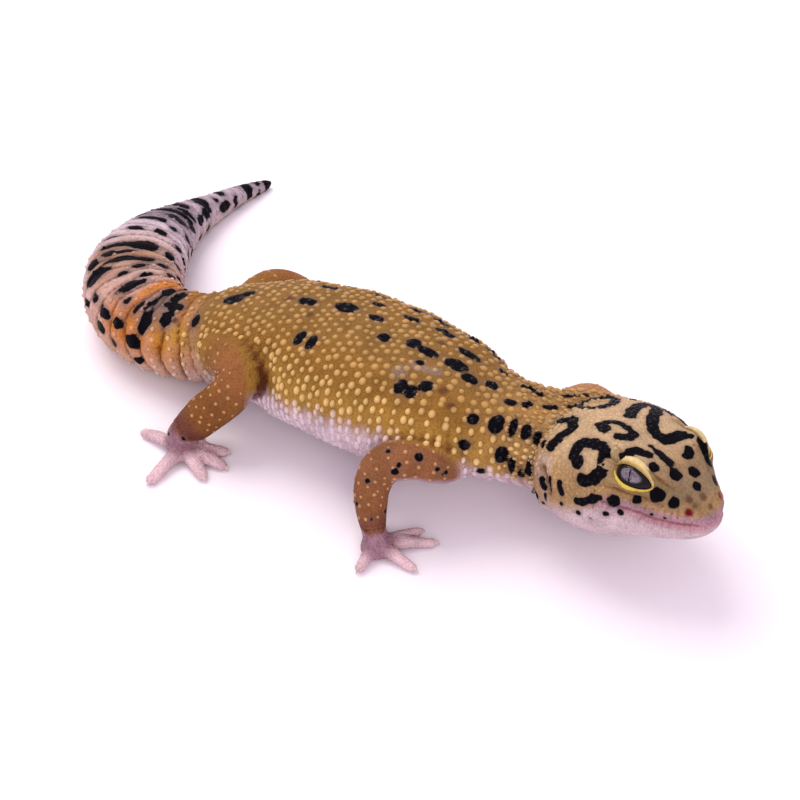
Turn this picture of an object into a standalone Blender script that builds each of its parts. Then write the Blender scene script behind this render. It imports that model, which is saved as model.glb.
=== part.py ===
"""Leopard gecko, adult, standing still with its tail swept to the left: the solids.

Head towards +X, left side towards +Y, floor at z = 0. Lengths below are in millimetres.
"""
from math import radians

import bmesh
import bpy
import numpy as np
from mathutils import Euler, Matrix, Vector

MM = 0.001
ORIGIN = (-11.85, 16.96, 0.0)  # middle of the footprint, where the part's own origin goes
GAP = 0.3                    # clearance left at every thin cut
ROUND = 2.25                 # section exponent of the body: 2 is an ellipse, more is squarer
HEAD_ROUND = 2.5

# the head keeps its own frame: x forward, y left, z up from the throat
HEAD_AT = (43.8, 1.0, 8.6)
HEAD_TURN = (-6.0, -7.5, -16.0)  # roll, pitch and yaw in degrees, nose a little up and to the right
# x, height of the widest line, half width, rise above it, drop below it
HEAD = (
    (27.0, 6.2, 0.6, 0.5, 0.5), (26.4, 6.2, 3.2, 2.4, 2.5), (24.6, 6.3, 5.2, 4.4, 4.1),
    (22.0, 6.5, 7.4, 6.4, 5.2), (18.5, 6.8, 9.8, 8.7, 6.3), (15.0, 7.2, 12.0, 10.3, 8.0),
    (11.0, 7.4, 14.0, 11.2, 9.6), (6.0, 7.6, 15.2, 11.5, 10.9), (0.0, 7.6, 15.3, 10.8, 10.8),
    (-6.0, 7.4, 13.8, 9.6, 10.2),
)
# x, y, z, half width, rise, drop of the neck, trunk and tail
BODY = (
    (30, 2.0, 15.4, 11.0, 8.7, 9.4), (21, 0, 15.6, 12.6, 9.6, 8.8),
    (13, -0.6, 16.2, 15.8, 11.4, 10.2), (2, -0.2, 15.8, 18.0, 12.8, 11.0),
    (-12, 0.8, 15.4, 18.8, 13.2, 11.0), (-26, 0.9, 14.8, 17.0, 12.4, 10.6),
    (-38, -0.4, 13.2, 13.4, 10.6, 10.0), (-47, -2.2, 11.2, 10.6, 9.0, 9.4),
    (-56, -3.6, 10.2, 10.0, 8.8, 9.4), (-65, -1.8, 9.8, 10.8, 9.0, 9.8),
    (-73.5, 4.2, 9.4, 11.4, 9.0, 9.7), (-79.5, 13, 9.0, 11.2, 8.8, 9.3),
    (-84.1, 25, 7.6, 9.0, 7.6, 7.9), (-86.9, 37, 5.6, 6.0, 5.6, 5.8),
    (-87.6, 48.5, 4.0, 4.0, 3.9, 4.2), (-87.2, 59, 2.8, 2.7, 2.7, 3.0),
    (-86.0, 68, 1.7, 1.5, 1.5, 1.9), (-85.6, 71, 1.2, 0.5, 0.5, 0.5),
)
NECK_END, TRUNK_END = 2.0, 8.0      # where the nodes are cut, counted in BODY rows
TAIL_ENDS = (10.5, 12.5, 14.5)
RINGS_PER_ROW, HEAD_SIDES, BODY_SIDES = 2, 24, 24

MOUTH = ((32, 6.2), (26, 6.6), (20, 7.8), (12, 9.6), (-4, -8), (32, -8))  # jaw prism, x and z
EYE_RADIUS = 4.0
EYE_AT = (14.6, 6.8, 12.7)          # left eye in the head's frame; the right one mirrors it
EYE_LOOK = (0.22, 0.80, 0.56)
LID = 0.7                           # how far the lids stand off the eyeball
OPENING = (3.9, 2.4)                # half length and half height between the lids
EYE_TILT = -12                      # degrees, front corner low

# each limb from the body out: x, y, z, radius across, radius up
LIMBS = {
    "right_fore": ((19, -5, 13.5, 5, 5), (18, -13, 14.5, 4.6, 4.6), (14, -17.6, 16.2, 4.2, 4.1),
                   (9.8, -20.3, 15.0, 4.1, 4.1), (8.4, -22.3, 11, 3.8, 3.8),
                   (9.5, -24.5, 7, 3.4, 3.3), (11.5, -26.5, 3.2, 2.9, 2.5), (12.6, -27.6, 1.9, 2.6, 2)),
    "right_hind": ((-42, -3, 12.5, 6.2, 6.8), (-37, -8, 15, 6.3, 6.4),
                   (-32, -11.8, 17.6, 5.4, 5.4), (-27.8, -14.6, 17.6, 4.6, 4.6),
                   (-29, -17.6, 13.4, 4.5, 4.5), (-33, -20.4, 8.8, 4.4, 4.4),
                   (-36.6, -23.4, 4.2, 3.7, 3.3), (-37.6, -25, 2, 3, 2)),
    "left_fore": ((20, 3, 12.5, 4, 4), (23, 12.5, 9.6, 4, 4), (26.5, 18.5, 9.8, 3.8, 3.8),
                  (30.4, 22.2, 11.4, 3.6, 3.6), (34.2, 23.4, 9.6, 3.6, 3.5),
                  (38, 23.6, 6.6, 3.2, 3.1), (41, 23.5, 3.2, 2.8, 2.5), (42, 23.8, 1.9, 2.5, 2)),
    "left_hind": ((-42, 2, 12, 6, 6.6), (-43, 9, 13.6, 6, 6), (-43, 15, 14.6, 5, 5),
                  (-40.6, 18.6, 13.4, 4.6, 4.6), (-37, 21.5, 9.8, 4.3, 4.2),
                  (-34, 24, 6, 3.7, 3.7), (-32, 25.5, 3.3, 3, 2.6), (-31.4, 26, 2, 2.6, 2)),
}
JOINT_ROWS = (3.45, 5.6)            # elbow or knee, then wrist or ankle, in rows of a limb
LIMB_SIDES = 12
# palm centre, then the five toe tips, on the floor
TOES = {
    "right_fore": ((12.5, -27.5), (13, -34.5), (21.8, -28.3), (21.3, -20), (17.2, -18.6), (9.4, -21)),
    "right_hind": ((-36, -25), (-47, -25), (-35.5, -36.5), (-27, -29.5), (-25.5, -24.5), (-28, -20.5)),
    "left_fore": ((42, 24), (40, 32), (48, 31.5), (51.5, 25.5), (48, 18.5), (38.5, 18)),
    "left_hind": ((-31, 26), (-41, 30), (-35, 35.5), (-26.5, 35), (-20.5, 29), (-22, 22.5)),
}
TOE_SIDES = 6
TOE_GROWTH = {"fore": 1.0, "hind": 1.25}     # the hind toes are the thicker ones

COLOURS = {                         # base colour, roughness
    "head": ((0.55, 0.40, 0.22), 0.55), "jaw": ((0.78, 0.62, 0.58), 0.55),
    "eye": ((0.45, 0.45, 0.50), 0.08), "trunk": ((0.58, 0.36, 0.12), 0.6),
    "tail": ((0.62, 0.52, 0.55), 0.6), "leg": ((0.45, 0.24, 0.10), 0.6),
    "foot": ((0.72, 0.50, 0.50), 0.55),
}


def emptyScene():
    for thing in list(bpy.data.objects):
        bpy.data.objects.remove(thing, do_unlink=True)


def collection(name):
    made = bpy.data.collections.new(name)
    bpy.context.scene.collection.children.link(made)
    return made


def material(name):
    colour, rough = COLOURS[name]
    made = bpy.data.materials.new(name)
    made.use_nodes = True
    shader = made.node_tree.nodes["Principled BSDF"]
    shader.inputs["Base Color"].default_value = (*colour, 1)
    shader.inputs["Roughness"].default_value = rough
    shader.inputs["Metallic"].default_value = 0
    return made


def thing(name, points, faces, paint=None, into=None):
    """A closed mesh object from points in millimetres."""
    mesh = bpy.data.meshes.new(name)
    placed = (np.asarray(points) - ORIGIN) * MM
    mesh.from_pydata(placed.tolist(), [], faces)
    work = bmesh.new()
    work.from_mesh(mesh)
    bmesh.ops.recalc_face_normals(work, faces=work.faces)
    work.to_mesh(mesh)
    work.free()
    made = bpy.data.objects.new(name, mesh)
    (into or cutters).objects.link(made)
    if paint:
        mesh.materials.append(paint)
    else:
        made.display_type, made.hide_render = "WIRE", True
    return made


def combine(target, tool, operation, folded=False):
    step = target.modifiers.new(f"{operation} {tool.name}", "BOOLEAN")
    step.operation, step.object, step.solver = operation, tool, "EXACT"
    step.use_self = folded          # for a tool that folds over itself inside a bend


def settle(target):
    """Carries out the steps on the object and drops the crumbs they leave beside its body."""
    graph = bpy.context.evaluated_depsgraph_get()
    mesh = bpy.data.meshes.new_from_object(target.evaluated_get(graph))
    target.modifiers.clear()
    target.data = mesh
    work = bmesh.new()
    work.from_mesh(mesh)
    bmesh.ops.remove_doubles(work, verts=work.verts, dist=0.0000005)
    left, bodies = set(work.faces), []
    while left:
        body, edge = set(), [left.pop()]
        while edge:
            face = edge.pop()
            body.add(face)
            near = {other for side in face.edges for other in side.link_faces} & left
            left -= near
            edge += near
        bodies.append(body)
    keep = max(bodies, key=lambda body: sum(face.calc_area() for face in body))
    crumbs = [face for body in bodies if body is not keep for face in body]
    bmesh.ops.delete(work, geom=crumbs, context="FACES")
    work.to_mesh(mesh)
    work.free()


def grown(target):
    """A tool two gaps larger than the object all round, to cut its neighbour clear of it."""
    mesh = target.data.copy()
    normals = [point.normal.copy() for point in mesh.vertices]
    for point, normal in zip(mesh.vertices, normals):
        point.co += normal * 2 * GAP * MM
    made = bpy.data.objects.new(f"{target.name}_clearance", mesh)
    cutters.objects.link(made)
    made.display_type, made.hide_render = "WIRE", True
    return made


def spline(rows, at):
    """Catmull-Rom values of the rows at fractional row numbers."""
    rows = np.asarray(rows, float)
    padded = np.vstack([2 * rows[0] - rows[1], rows, 2 * rows[-1] - rows[-2]])
    first = np.clip(np.floor(at).astype(int), 0, len(rows) - 2)
    t = (at - first)[:, None]
    a, b, c, d = (padded[first + k] for k in range(4))
    return 0.5 * (2 * b + (c - a) * t + (2 * a - 5 * b + 4 * c - d) * t**2
                  + (3 * b - a - 3 * c + d) * t**3)


def direction(rows, at):
    """Unit tangents of the path through the rows."""
    ahead = spline(rows, np.minimum(at + 0.02, len(rows) - 1))[:, :3]
    along = ahead - spline(rows, np.maximum(at - 0.02, 0))[:, :3]
    return along / np.linalg.norm(along, axis=1, keepdims=True)


def superellipse(sides, power):
    turn = np.linspace(0, 2 * np.pi, sides, endpoint=False)
    across, rise = np.cos(turn), np.sin(turn)
    return (np.sign(across) * abs(across) ** (2 / power),
            np.sign(rise) * abs(rise) ** (2 / power))


def rings(centre, left, up, half, rise, drop, sides, power):
    across, high = superellipse(sides, power)
    tall = np.where(high >= 0, rise[:, None], drop[:, None]) * high
    return (centre[:, None] + left[:, None] * (half[:, None] * across)[..., None]
            + up[:, None] * tall[..., None])


def loft(name, sections, paint=None, into=None):
    """Closed tube through the sections, with a flat face at each end."""
    count, sides = sections.shape[:2]
    faces = [(r * sides + s, r * sides + (s + 1) % sides,
              (r + 1) * sides + (s + 1) % sides, (r + 1) * sides + s)
             for r in range(count - 1) for s in range(sides)]
    faces += [tuple(range(sides)), tuple((count - 1) * sides + s for s in range(sides))]
    return thing(name, sections.reshape(-1, 3), faces, paint, into)


headFrame = Matrix.Translation(HEAD_AT) @ Euler([radians(a) for a in HEAD_TURN]).to_matrix().to_4x4()


def inHead(points):
    turned = np.array(headFrame.to_3x3())
    return np.asarray(points, float) @ turned.T + np.array(HEAD_AT)


def spineRows():
    """Head rows carried into the part's frame, then the rows of the body."""
    head = [(*inHead([(x, 0, z)])[0], half, rise, drop) for x, z, half, rise, drop in HEAD]
    return np.array(head + list(BODY))


ROWS = spineRows()
FIRST = len(HEAD)                   # number of the first body row in ROWS


def spineSections(start, end, sides, power, extra=0.0):
    """Sections of the body between two row numbers; extra makes them all larger."""
    count = max(2, int(round((end - start) * RINGS_PER_ROW)) + 1)
    at = np.linspace(start, end, count)
    values = spline(ROWS, at)
    along = direction(ROWS, at)
    left = np.cross(along, (0, 0, 1))
    left /= np.linalg.norm(left, axis=1, keepdims=True)
    up = np.cross(left, along)
    lean = np.radians(HEAD_TURN[0]) * np.clip((FIRST + 1 - at) / 2, 0, 1)[:, None]
    left, up = left * np.cos(lean) + up * np.sin(lean), up * np.cos(lean) - left * np.sin(lean)
    half, rise, drop = (np.maximum(values[:, k], 0.4) + extra for k in (3, 4, 5))
    return rings(values[:, :3], left, up, half, rise, drop, sides, power)


def rowShift(at, distance):
    """The row number a given distance further along the spine."""
    step = np.linalg.norm(np.diff(spline(ROWS, np.array([at - 0.05, at + 0.05]))[:, :3], axis=0))
    return at + distance * 0.1 / step


def spineNode(name, start, end, paint, atFloor=False):
    first = rowShift(start, GAP / 2)
    last = rowShift(end, -GAP / 2) if end < len(ROWS) - 1 else end
    made = loft(name, spineSections(first, last, BODY_SIDES, ROUND), paint, parts)
    if atFloor:
        combine(made, floorSlab, "DIFFERENCE")
    return made


def ball(name, centre, radius, paint=None, into=None, columns=16, rows=10):
    """Sphere in the head's frame, poles left and right."""
    height = np.cos(np.linspace(0, np.pi, rows + 1)[1:-1])
    turn = np.linspace(0, 2 * np.pi, columns, endpoint=False)
    ring = np.sqrt(1 - height**2)[:, None]
    band = np.stack([ring * np.cos(turn), np.broadcast_to(height[:, None], (rows - 1, columns)),
                     ring * np.sin(turn)], -1).reshape(-1, 3)
    points = np.vstack([band, (0, 1, 0), (0, -1, 0)]) * radius + centre
    faces = [(r * columns + s, r * columns + (s + 1) % columns,
              (r + 1) * columns + (s + 1) % columns, (r + 1) * columns + s)
             for r in range(rows - 2) for s in range(columns)]
    last, top = (rows - 2) * columns, len(band)
    faces += [(s, (s + 1) % columns, top) for s in range(columns)]
    faces += [(last + s, last + (s + 1) % columns, top + 1) for s in range(columns)]
    return thing(name, inHead(points), faces, paint, into)


def prism(name, outline, half):
    """The outline in the head's x and z, drawn out to both sides."""
    count = len(outline)
    points = [(x, y, z) for y in (-half, half) for x, z in outline]
    faces = [tuple(range(count)), tuple(range(count, 2 * count))]
    faces += [(k, (k + 1) % count, count + (k + 1) % count, count + k) for k in range(count)]
    return thing(name, inHead(points), faces)


def lidOpening(name, side):
    """Oval plug that cuts the opening between the lids, along the line of sight."""
    look = np.array(EYE_LOOK) / np.linalg.norm(EYE_LOOK)
    tilt = radians(EYE_TILT)
    fore = np.array((np.cos(tilt), 0, np.sin(tilt)))
    fore = fore - look * (fore @ look)
    fore /= np.linalg.norm(fore)
    rise = np.cross(look, fore)
    turn = np.linspace(0, 2 * np.pi, 16, endpoint=False)[:, None]
    oval = fore * OPENING[0] * np.cos(turn) + rise * OPENING[1] * np.sin(turn)
    sections = np.stack([EYE_AT + oval + look * far for far in (1.0, 9.0)])
    sections = sections * (1, side, 1)
    return loft(name, inHead(sections.reshape(-1, 3)).reshape(2, 16, 3))


def makeHead():
    whole = spineSections(0, FIRST - 0.5, HEAD_SIDES, HEAD_ROUND)
    head = loft("head", whole, material("head"), parts)
    jaw = loft("lower_jaw", whole, material("jaw"), parts)
    combine(jaw, prism("jawPrism", MOUTH, 30), "INTERSECT")
    iris = material("eye")
    for side, word in ((1, "left"), (-1, "right")):
        centre = np.array(EYE_AT) * (1, side, 1)
        ball(f"eye_{word}", centre, EYE_RADIUS, iris, parts)
        combine(head, ball(f"lids_{word}", centre, EYE_RADIUS + LID), "UNION")
        socket = ball(f"socket_{word}", centre, EYE_RADIUS + GAP)
        for bone in (head, jaw):
            combine(bone, socket, "DIFFERENCE")
        combine(head, lidOpening(f"opening_{word}", side), "DIFFERENCE")
    raised = [(x - 0.25, z + GAP) for x, z in MOUTH]
    combine(head, prism("mouthPrism", raised, 31), "DIFFERENCE")


def makeSpine():
    paint, tail = material("trunk"), material("tail")
    spineNode("neck", FIRST - 0.5, FIRST + NECK_END, paint)
    spineNode("trunk", FIRST + NECK_END, FIRST + TRUNK_END, paint)
    ends = (TRUNK_END, *TAIL_ENDS, len(BODY) - 1)
    for name, start, end in zip(("base", "swelling", "taper", "tip"), ends, ends[1:]):
        spineNode(f"tail_{name}", FIRST + start, FIRST + end, tail, atFloor=True)


def tube(rows, start, end, count, sides):
    """Round sections along a limb or toe, carried along its path without twisting."""
    at = np.linspace(start, end, count)
    values = spline(rows, at)
    centre = values[:, :3]
    along = direction(rows, at)
    up = np.array((0, 0, 1.0)) if abs(along[0, 2]) < 0.8 else np.array((1.0, 0, 0))
    ups = []
    for way in along:
        up = up - way * (up @ way)
        up /= np.linalg.norm(up)
        ups.append(up)
    ups = np.array(ups)
    across, high = values[:, 3], values[:, 4]
    return rings(centre, np.cross(ups, along), ups, across, high, high, sides, 2.0)


def toe(name, palm, tip, growth):
    """Toe with its claw: low at the root, arched at the knuckle, the pad and the claw down."""
    palm, tip = np.array((*palm, 0.0)), np.array((*tip, 0.0))
    way = tip - palm
    way /= np.linalg.norm(way)
    length = np.linalg.norm(tip - palm)
    steps = ((0.10, 1.5, 1.6), (0.45, 1.6, 1.25), (0.72, 1.2, 1.05), (0.90, 0.85, 0.95),
             (0.97, 0.8, 0.5), (1.05, 0.35, 0.3))      # share of the way, height, radius
    rows = [(*(palm + way * share * length + (0, 0, high)), wide * growth, wide * 0.92)
            for share, high, wide in steps]
    return loft(name, tube(rows, 0, len(rows) - 1, 7, TOE_SIDES))


def makeLimb(name, rows, floorPoints):
    upper, lower, end = {"fore": ("upper_arm", "forearm", "hand"),
                         "hind": ("thigh", "shank", "foot")}[name.split("_")[1]]
    side = name.split("_")[0]
    elbow, wrist = JOINT_ROWS
    share = GAP / 2 / 4.5           # a limb's rows are about 4.5 mm apart
    thigh = loft(f"{side}_{upper}", tube(rows, 0, elbow - share, 9, LIMB_SIDES),
                 material("leg"), parts)
    shank = loft(f"{side}_{lower}", tube(rows, elbow + share, wrist - share, 6, LIMB_SIDES),
                 material("leg"), parts)
    for piece in (thigh, shank):
        combine(piece, bodyCutter, "DIFFERENCE", folded=True)
    settle(thigh)
    combine(shank, grown(thigh), "DIFFERENCE", folded=True)
    settle(shank)
    foot = loft(f"{side}_{end}", tube(rows, wrist + share, len(rows) - 1, 5, LIMB_SIDES),
                material("foot"), parts)
    palm, *tips = floorPoints
    pad = [(*palm, high, wide, wide) for high, wide in ((-0.4, 3.0), (1.0, 3.4), (2.3, 3.0), (3.3, 1.5))]
    combine(foot, loft(f"{name}_pad", tube(pad, 0, 3, 4, LIMB_SIDES)), "UNION")
    for count, tip in enumerate(tips):
        combine(foot, toe(f"{name}_toe_{count}", palm, tip, TOE_GROWTH[name.split("_")[1]]), "UNION")
    combine(foot, grown(shank), "DIFFERENCE")
    combine(foot, floorSlab, "DIFFERENCE")
    settle(foot)


emptyScene()
parts = collection("leopard_gecko")
cutters = collection("cutters")
floorSlab = thing("floorSlab", [(x, y, z) for z in (-8, 0) for x, y in
                                ((-130, -70), (110, -70), (110, 110), (-130, 110))],
                  [(0, 1, 2, 3), (4, 5, 6, 7), (0, 1, 5, 4), (1, 2, 6, 5), (2, 3, 7, 6), (3, 0, 4, 7)])
bodyCutter = loft("bodyCutter", spineSections(0, len(ROWS) - 1, BODY_SIDES, HEAD_ROUND,
                                              extra=2 * GAP))
makeHead()
makeSpine()
for limb, path in LIMBS.items():
    makeLimb(limb, path, TOES[limb])
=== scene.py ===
from math import pi, radians

import bmesh
import bpy
import numpy as np
from mathutils import Euler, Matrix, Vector
from mathutils.bvhtree import BVHTree


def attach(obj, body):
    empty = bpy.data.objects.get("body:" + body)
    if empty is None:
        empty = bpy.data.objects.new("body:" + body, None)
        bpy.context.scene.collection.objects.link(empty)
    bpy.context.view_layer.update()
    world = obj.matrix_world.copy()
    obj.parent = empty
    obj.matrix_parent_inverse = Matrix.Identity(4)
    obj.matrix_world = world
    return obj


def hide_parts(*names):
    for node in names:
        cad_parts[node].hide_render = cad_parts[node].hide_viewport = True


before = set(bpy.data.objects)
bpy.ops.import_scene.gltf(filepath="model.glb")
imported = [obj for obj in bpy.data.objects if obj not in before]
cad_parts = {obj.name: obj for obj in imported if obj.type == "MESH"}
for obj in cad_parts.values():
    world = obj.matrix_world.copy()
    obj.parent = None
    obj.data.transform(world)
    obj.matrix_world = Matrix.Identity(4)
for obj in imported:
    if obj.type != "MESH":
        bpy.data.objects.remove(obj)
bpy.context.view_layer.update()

rng = np.random.default_rng(7)
mm = 0.001
middle = np.array((-11.85, 16.96, 0.0))  # the frame's origin, in the mm that the rows below are in
farOff = 9.0  # mm, for a place with no mark near it
bodyLight = 0.82  # share that body colours are darkened to, because the lamps are brighter than white


# small tools

def toLinear(code):  # "#rrggbb" in sRGB to linear light
    part = np.array([int(code[k:k + 2], 16) for k in (1, 3, 5)]) / 255
    return np.where(part <= 0.04045, part / 12.92, ((part + 0.055) / 1.055) ** 2.4)


def rgba(code):  # the same for a shader's socket
    return (*toLinear(code), 1)


def paint(code):  # a body colour under this light
    return toLinear(code) * bodyLight


def rise(value, low, high):  # 0 below low, 1 above high, smooth between
    t = np.clip((np.asarray(value, float) - low) / (high - low), 0, 1)
    return t * t * (3 - 2 * t)


def bump(value, width):  # 1 at zero, falling as a bell of that width
    return np.exp(-(np.asarray(value, float) / width) ** 2)


def mix(a, b, share):  # colours a and b mixed by share, one for all or one per point
    share = np.reshape(share, (-1, 1))
    return np.asarray(a) * (1 - share) + np.asarray(b) * share


def unit(v):
    return v / np.maximum(np.linalg.norm(v, axis=-1, keepdims=True), 1e-9)


def distance(points, place):
    return np.linalg.norm(points - place, axis=-1)


def turns(count):  # even steps of a whole turn
    return np.linspace(0, 2 * pi, count, endpoint=False)


def node(tree, kind, inputs=None, **settings):  # one node, its settings, and what goes into its sockets
    made = tree.nodes.new(kind)
    for name, value in settings.items():
        setattr(made, name, value)
    for name, value in (inputs or {}).items():
        if isinstance(value, bpy.types.NodeSocket):
            tree.links.new(value, made.inputs[name])
        else:
            made.inputs[name].default_value = value
    return made


def placed(name, data):  # an object in the scene that shows data
    made = bpy.data.objects.new(name, data)
    bpy.context.scene.collection.objects.link(made)
    return made


def piece(name, points, faces, material, slot):
    # A smooth mesh from points in mm; with a slot it is one of the model's pieces.
    mesh = bpy.data.meshes.new(name)
    mesh.from_pydata(((np.asarray(points) - middle) * mm).tolist(), [], faces)
    mesh.materials.append(material)
    mesh.polygons.foreach_set("use_smooth", [True] * len(mesh.polygons))
    made = placed(name, mesh)
    if slot:
        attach(made, "root")
    return made


def triangles(mesh):
    return sum(len(face.vertices) - 2 for face in mesh.polygons)


def faceOutwards(mesh):
    work = bmesh.new()
    work.from_mesh(mesh)
    bmesh.ops.recalc_face_normals(work, faces=work.faces)
    work.to_mesh(mesh)
    work.free()


def gridFaces(rows, columns, start=0):  # quads of a tube: rows along it, columns round it
    r, c = np.meshgrid(np.arange(rows - 1), np.arange(columns), indexing="ij")
    a, b = r * columns + c, r * columns + (c + 1) % columns
    return (np.stack([a, b, b + columns, a + columns], -1).reshape(-1, 4) + start).tolist()


def closedTube(sections, start=0):  # quads, and one many-sided face at each end
    rows, columns = sections.shape[:2]
    ends = [list(range(columns - 1, -1, -1)), [(rows - 1) * columns + k for k in range(columns)]]
    return gridFaces(rows, columns, start) + [[start + k for k in end] for end in ends]


def setValues(mesh, name, values):  # a float or a colour for every vertex
    values = np.asarray(values, np.float32)
    if values.ndim == 1:
        mesh.attributes.new(name, "FLOAT", "POINT").data.foreach_set("value", values)
    else:
        four = np.hstack([np.clip(values, 0, 1), np.ones((len(values), 1))]).astype(np.float32)
        mesh.attributes.new(name, "FLOAT_COLOR", "POINT").data.foreach_set("color", four.ravel())


def setMap(mesh, name, spread):  # a UV map from one place per vertex
    corners = np.empty(len(mesh.loops), int)
    mesh.loops.foreach_get("vertex_index", corners)
    mesh.uv_layers.new(name=name).data.foreach_set("uv", spread[corners].astype(np.float32).ravel())


def spline(rows, at):  # Catmull-Rom curve through the rows, at row numbers
    rows = np.asarray(rows, float)
    padded = np.vstack([2 * rows[0] - rows[1], rows, 2 * rows[-1] - rows[-2]])
    first = np.clip(np.floor(at).astype(int), 0, len(rows) - 2)
    t = (at - first)[:, None]
    a, b, c, d = (padded[first + k] for k in range(4))
    return 0.5 * (2 * b + (c - a) * t + (2 * a - 5 * b + 4 * c - d) * t**2
                  + (3 * b - a - 3 * c + d) * t**3)


# the body's form: rows of sections in mm, as the solids have them

head = dict(
    at=(43.8, 1.0, 8.6), turn=(-6.0, -7.5, -16.0),  # place, then roll, pitch and yaw
    # x, height of the widest line, half width, rise, drop
    rows=((27.0, 6.2, 0.6, 0.5, 0.5), (26.4, 6.2, 3.2, 2.4, 2.5), (24.6, 6.3, 5.2, 4.4, 4.1),
          (22.0, 6.5, 7.4, 6.4, 5.2), (18.5, 6.8, 9.8, 8.7, 6.3), (15.0, 7.2, 12.0, 10.3, 8.0),
          (11.0, 7.4, 14.0, 11.2, 9.6), (6.0, 7.6, 15.2, 11.5, 10.9),
          (0.0, 7.6, 15.3, 10.8, 10.8), (-6.0, 7.4, 13.8, 9.6, 10.2)),
    power=2.5,
)
body = dict(
    # x, y, z, half width, rise, drop of neck, trunk and tail
    rows=((30, 2.0, 15.4, 11.0, 8.7, 9.4), (21, 0, 15.6, 12.6, 9.6, 8.8),
          (13, -0.6, 16.2, 15.8, 11.4, 10.2), (2, -0.2, 15.8, 18.0, 12.8, 11.0),
          (-12, 0.8, 15.4, 18.8, 13.2, 11.0), (-26, 0.9, 14.8, 17.0, 12.4, 10.6),
          (-38, -0.4, 13.2, 13.4, 10.6, 10.0), (-47, -2.2, 11.2, 10.6, 9.0, 9.4),
          (-56, -3.6, 10.2, 10.0, 8.8, 9.4), (-65, -1.8, 9.8, 10.8, 9.0, 9.8),
          (-73.5, 4.2, 9.4, 11.4, 9.0, 9.7), (-79.5, 13, 9.0, 11.2, 8.8, 9.3),
          (-84.1, 25, 7.6, 9.0, 7.6, 7.9), (-86.9, 37, 5.6, 6.0, 5.6, 5.8),
          (-87.6, 48.5, 4.0, 4.0, 3.9, 4.2), (-87.2, 59, 2.8, 2.7, 2.7, 3.0),
          (-86.0, 68, 1.7, 1.5, 1.5, 1.9), (-85.6, 71, 1.2, 0.5, 0.5, 0.5)),
    coat=0.42,  # mm the skin lies inside these sections, which touch the tubercles' tips
    power=2.25,  # 2 is an ellipse, more is squarer
)
limbs = dict(
    coat=0.3, steps=90, last=7,  # the same depth, the places along a limb's line, and its last row
    outside=1.15, leaving=(1.0, 1.16),  # shares of the body's section past which a limb shows
    close=1.9,  # radii from its line that still belong to a limb
    # from the body out: x, y, z, radius across, radius up; counted as rows 0 to 7
    rows={
        "right_fore": ((19, -5, 13.5, 5, 5), (18, -13, 14.5, 4.6, 4.6), (14, -17.6, 16.2, 4.2, 4.1),
                       (9.8, -20.3, 15, 4.1, 4.1), (8.4, -22.3, 11, 3.8, 3.8), (9.5, -24.5, 7, 3.4, 3.3),
                       (11.5, -26.5, 3.2, 2.9, 2.5), (12.6, -27.6, 1.9, 2.6, 2)),
        "right_hind": ((-42, -3, 12.5, 6.2, 6.8), (-37, -8, 15, 6.3, 6.4), (-32, -11.8, 17.6, 5.4, 5.4),
                       (-27.8, -14.6, 17.6, 4.6, 4.6), (-29, -17.6, 13.4, 4.5, 4.5),
                       (-33, -20.4, 8.8, 4.4, 4.4), (-36.6, -23.4, 4.2, 3.7, 3.3), (-37.6, -25, 2, 3, 2)),
        "left_fore": ((20, 3, 12.5, 4, 4), (23, 12.5, 9.6, 4, 4), (26.5, 18.5, 9.8, 3.8, 3.8),
                      (30.4, 22.2, 11.4, 3.6, 3.6), (34.2, 23.4, 9.6, 3.6, 3.5), (38, 23.6, 6.6, 3.2, 3.1),
                      (41, 23.5, 3.2, 2.8, 2.5), (42, 23.8, 1.9, 2.5, 2)),
        "left_hind": ((-42, 2, 12, 6, 6.6), (-43, 9, 13.6, 6, 6), (-43, 15, 14.6, 5, 5),
                      (-40.6, 18.6, 13.4, 4.6, 4.6), (-37, 21.5, 9.8, 4.3, 4.2), (-34, 24, 6, 3.7, 3.7),
                      (-32, 25.5, 3.3, 3, 2.6), (-31.4, 26, 2, 2.6, 2)),
    },
    # palm, then the five toe tips, on the floor
    toes={
        "right_fore": ((12.5, -27.5), (13, -34.5), (21.8, -28.3), (21.3, -20), (17.2, -18.6), (9.4, -21)),
        "right_hind": ((-36, -25), (-47, -25), (-35.5, -36.5), (-27, -29.5), (-25.5, -24.5), (-28, -20.5)),
        "left_fore": ((42, 24), (40, 32), (48, 31.5), (51.5, 25.5), (48, 18.5), (38.5, 18)),
        "left_hind": ((-31, 26), (-41, 30), (-35, 35.5), (-26.5, 35), (-20.5, 29), (-22, 22.5)),
    },
    toeGrowth=dict(right_fore=1.0, left_fore=1.0, right_hind=1.25, left_hind=1.25), toeHeight=0.92,
    # share of the toe's length, height, radius
    toeSteps=((0.05, 1.5, 1.6), (0.30, 1.6, 1.45), (0.50, 1.6, 1.25), (0.72, 1.25, 1.15),
              (0.86, 1.0, 1.08), (0.95, 0.95, 0.95), (1.0, 0.85, 0.5)),
    padSteps=((0.15, 2.6), (1.0, 3.1), (2.3, 2.8), (3.2, 1.4)),  # height and radius of the palm's rings
    foot=dict(reach=13.5, top=4.2, wrist=6.2, spread=11, rows=1.8),  # mm about the palm, then rows
)
eye = dict(
    at=(14.6, 6.8, 12.7), radius=4.0,  # the left eye in the head's frame; the right mirrors it
    look=(0.22, 0.80, 0.56), tilt=-5,  # line of sight, and degrees that the opening tilts
    lid=0.7, opening=(4.7, 2.0),  # how far the lids stand off; half length and height over the ball
    power=1.7,  # of the opening's edge: sharper corners than an ellipse's 2
    mapSpan=6.6,  # radians across the map that the iris is drawn in
    hole=3.3, holeReach=7.2,  # mm from its middle: the skin under it, and the end of what that moves
    shadeReach=6.4, bare=6.3,  # mm from its middle: the shade round it, and the skin with no tubercles
)

turn = np.array(Euler([radians(a) for a in head["turn"]]).to_matrix())


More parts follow.
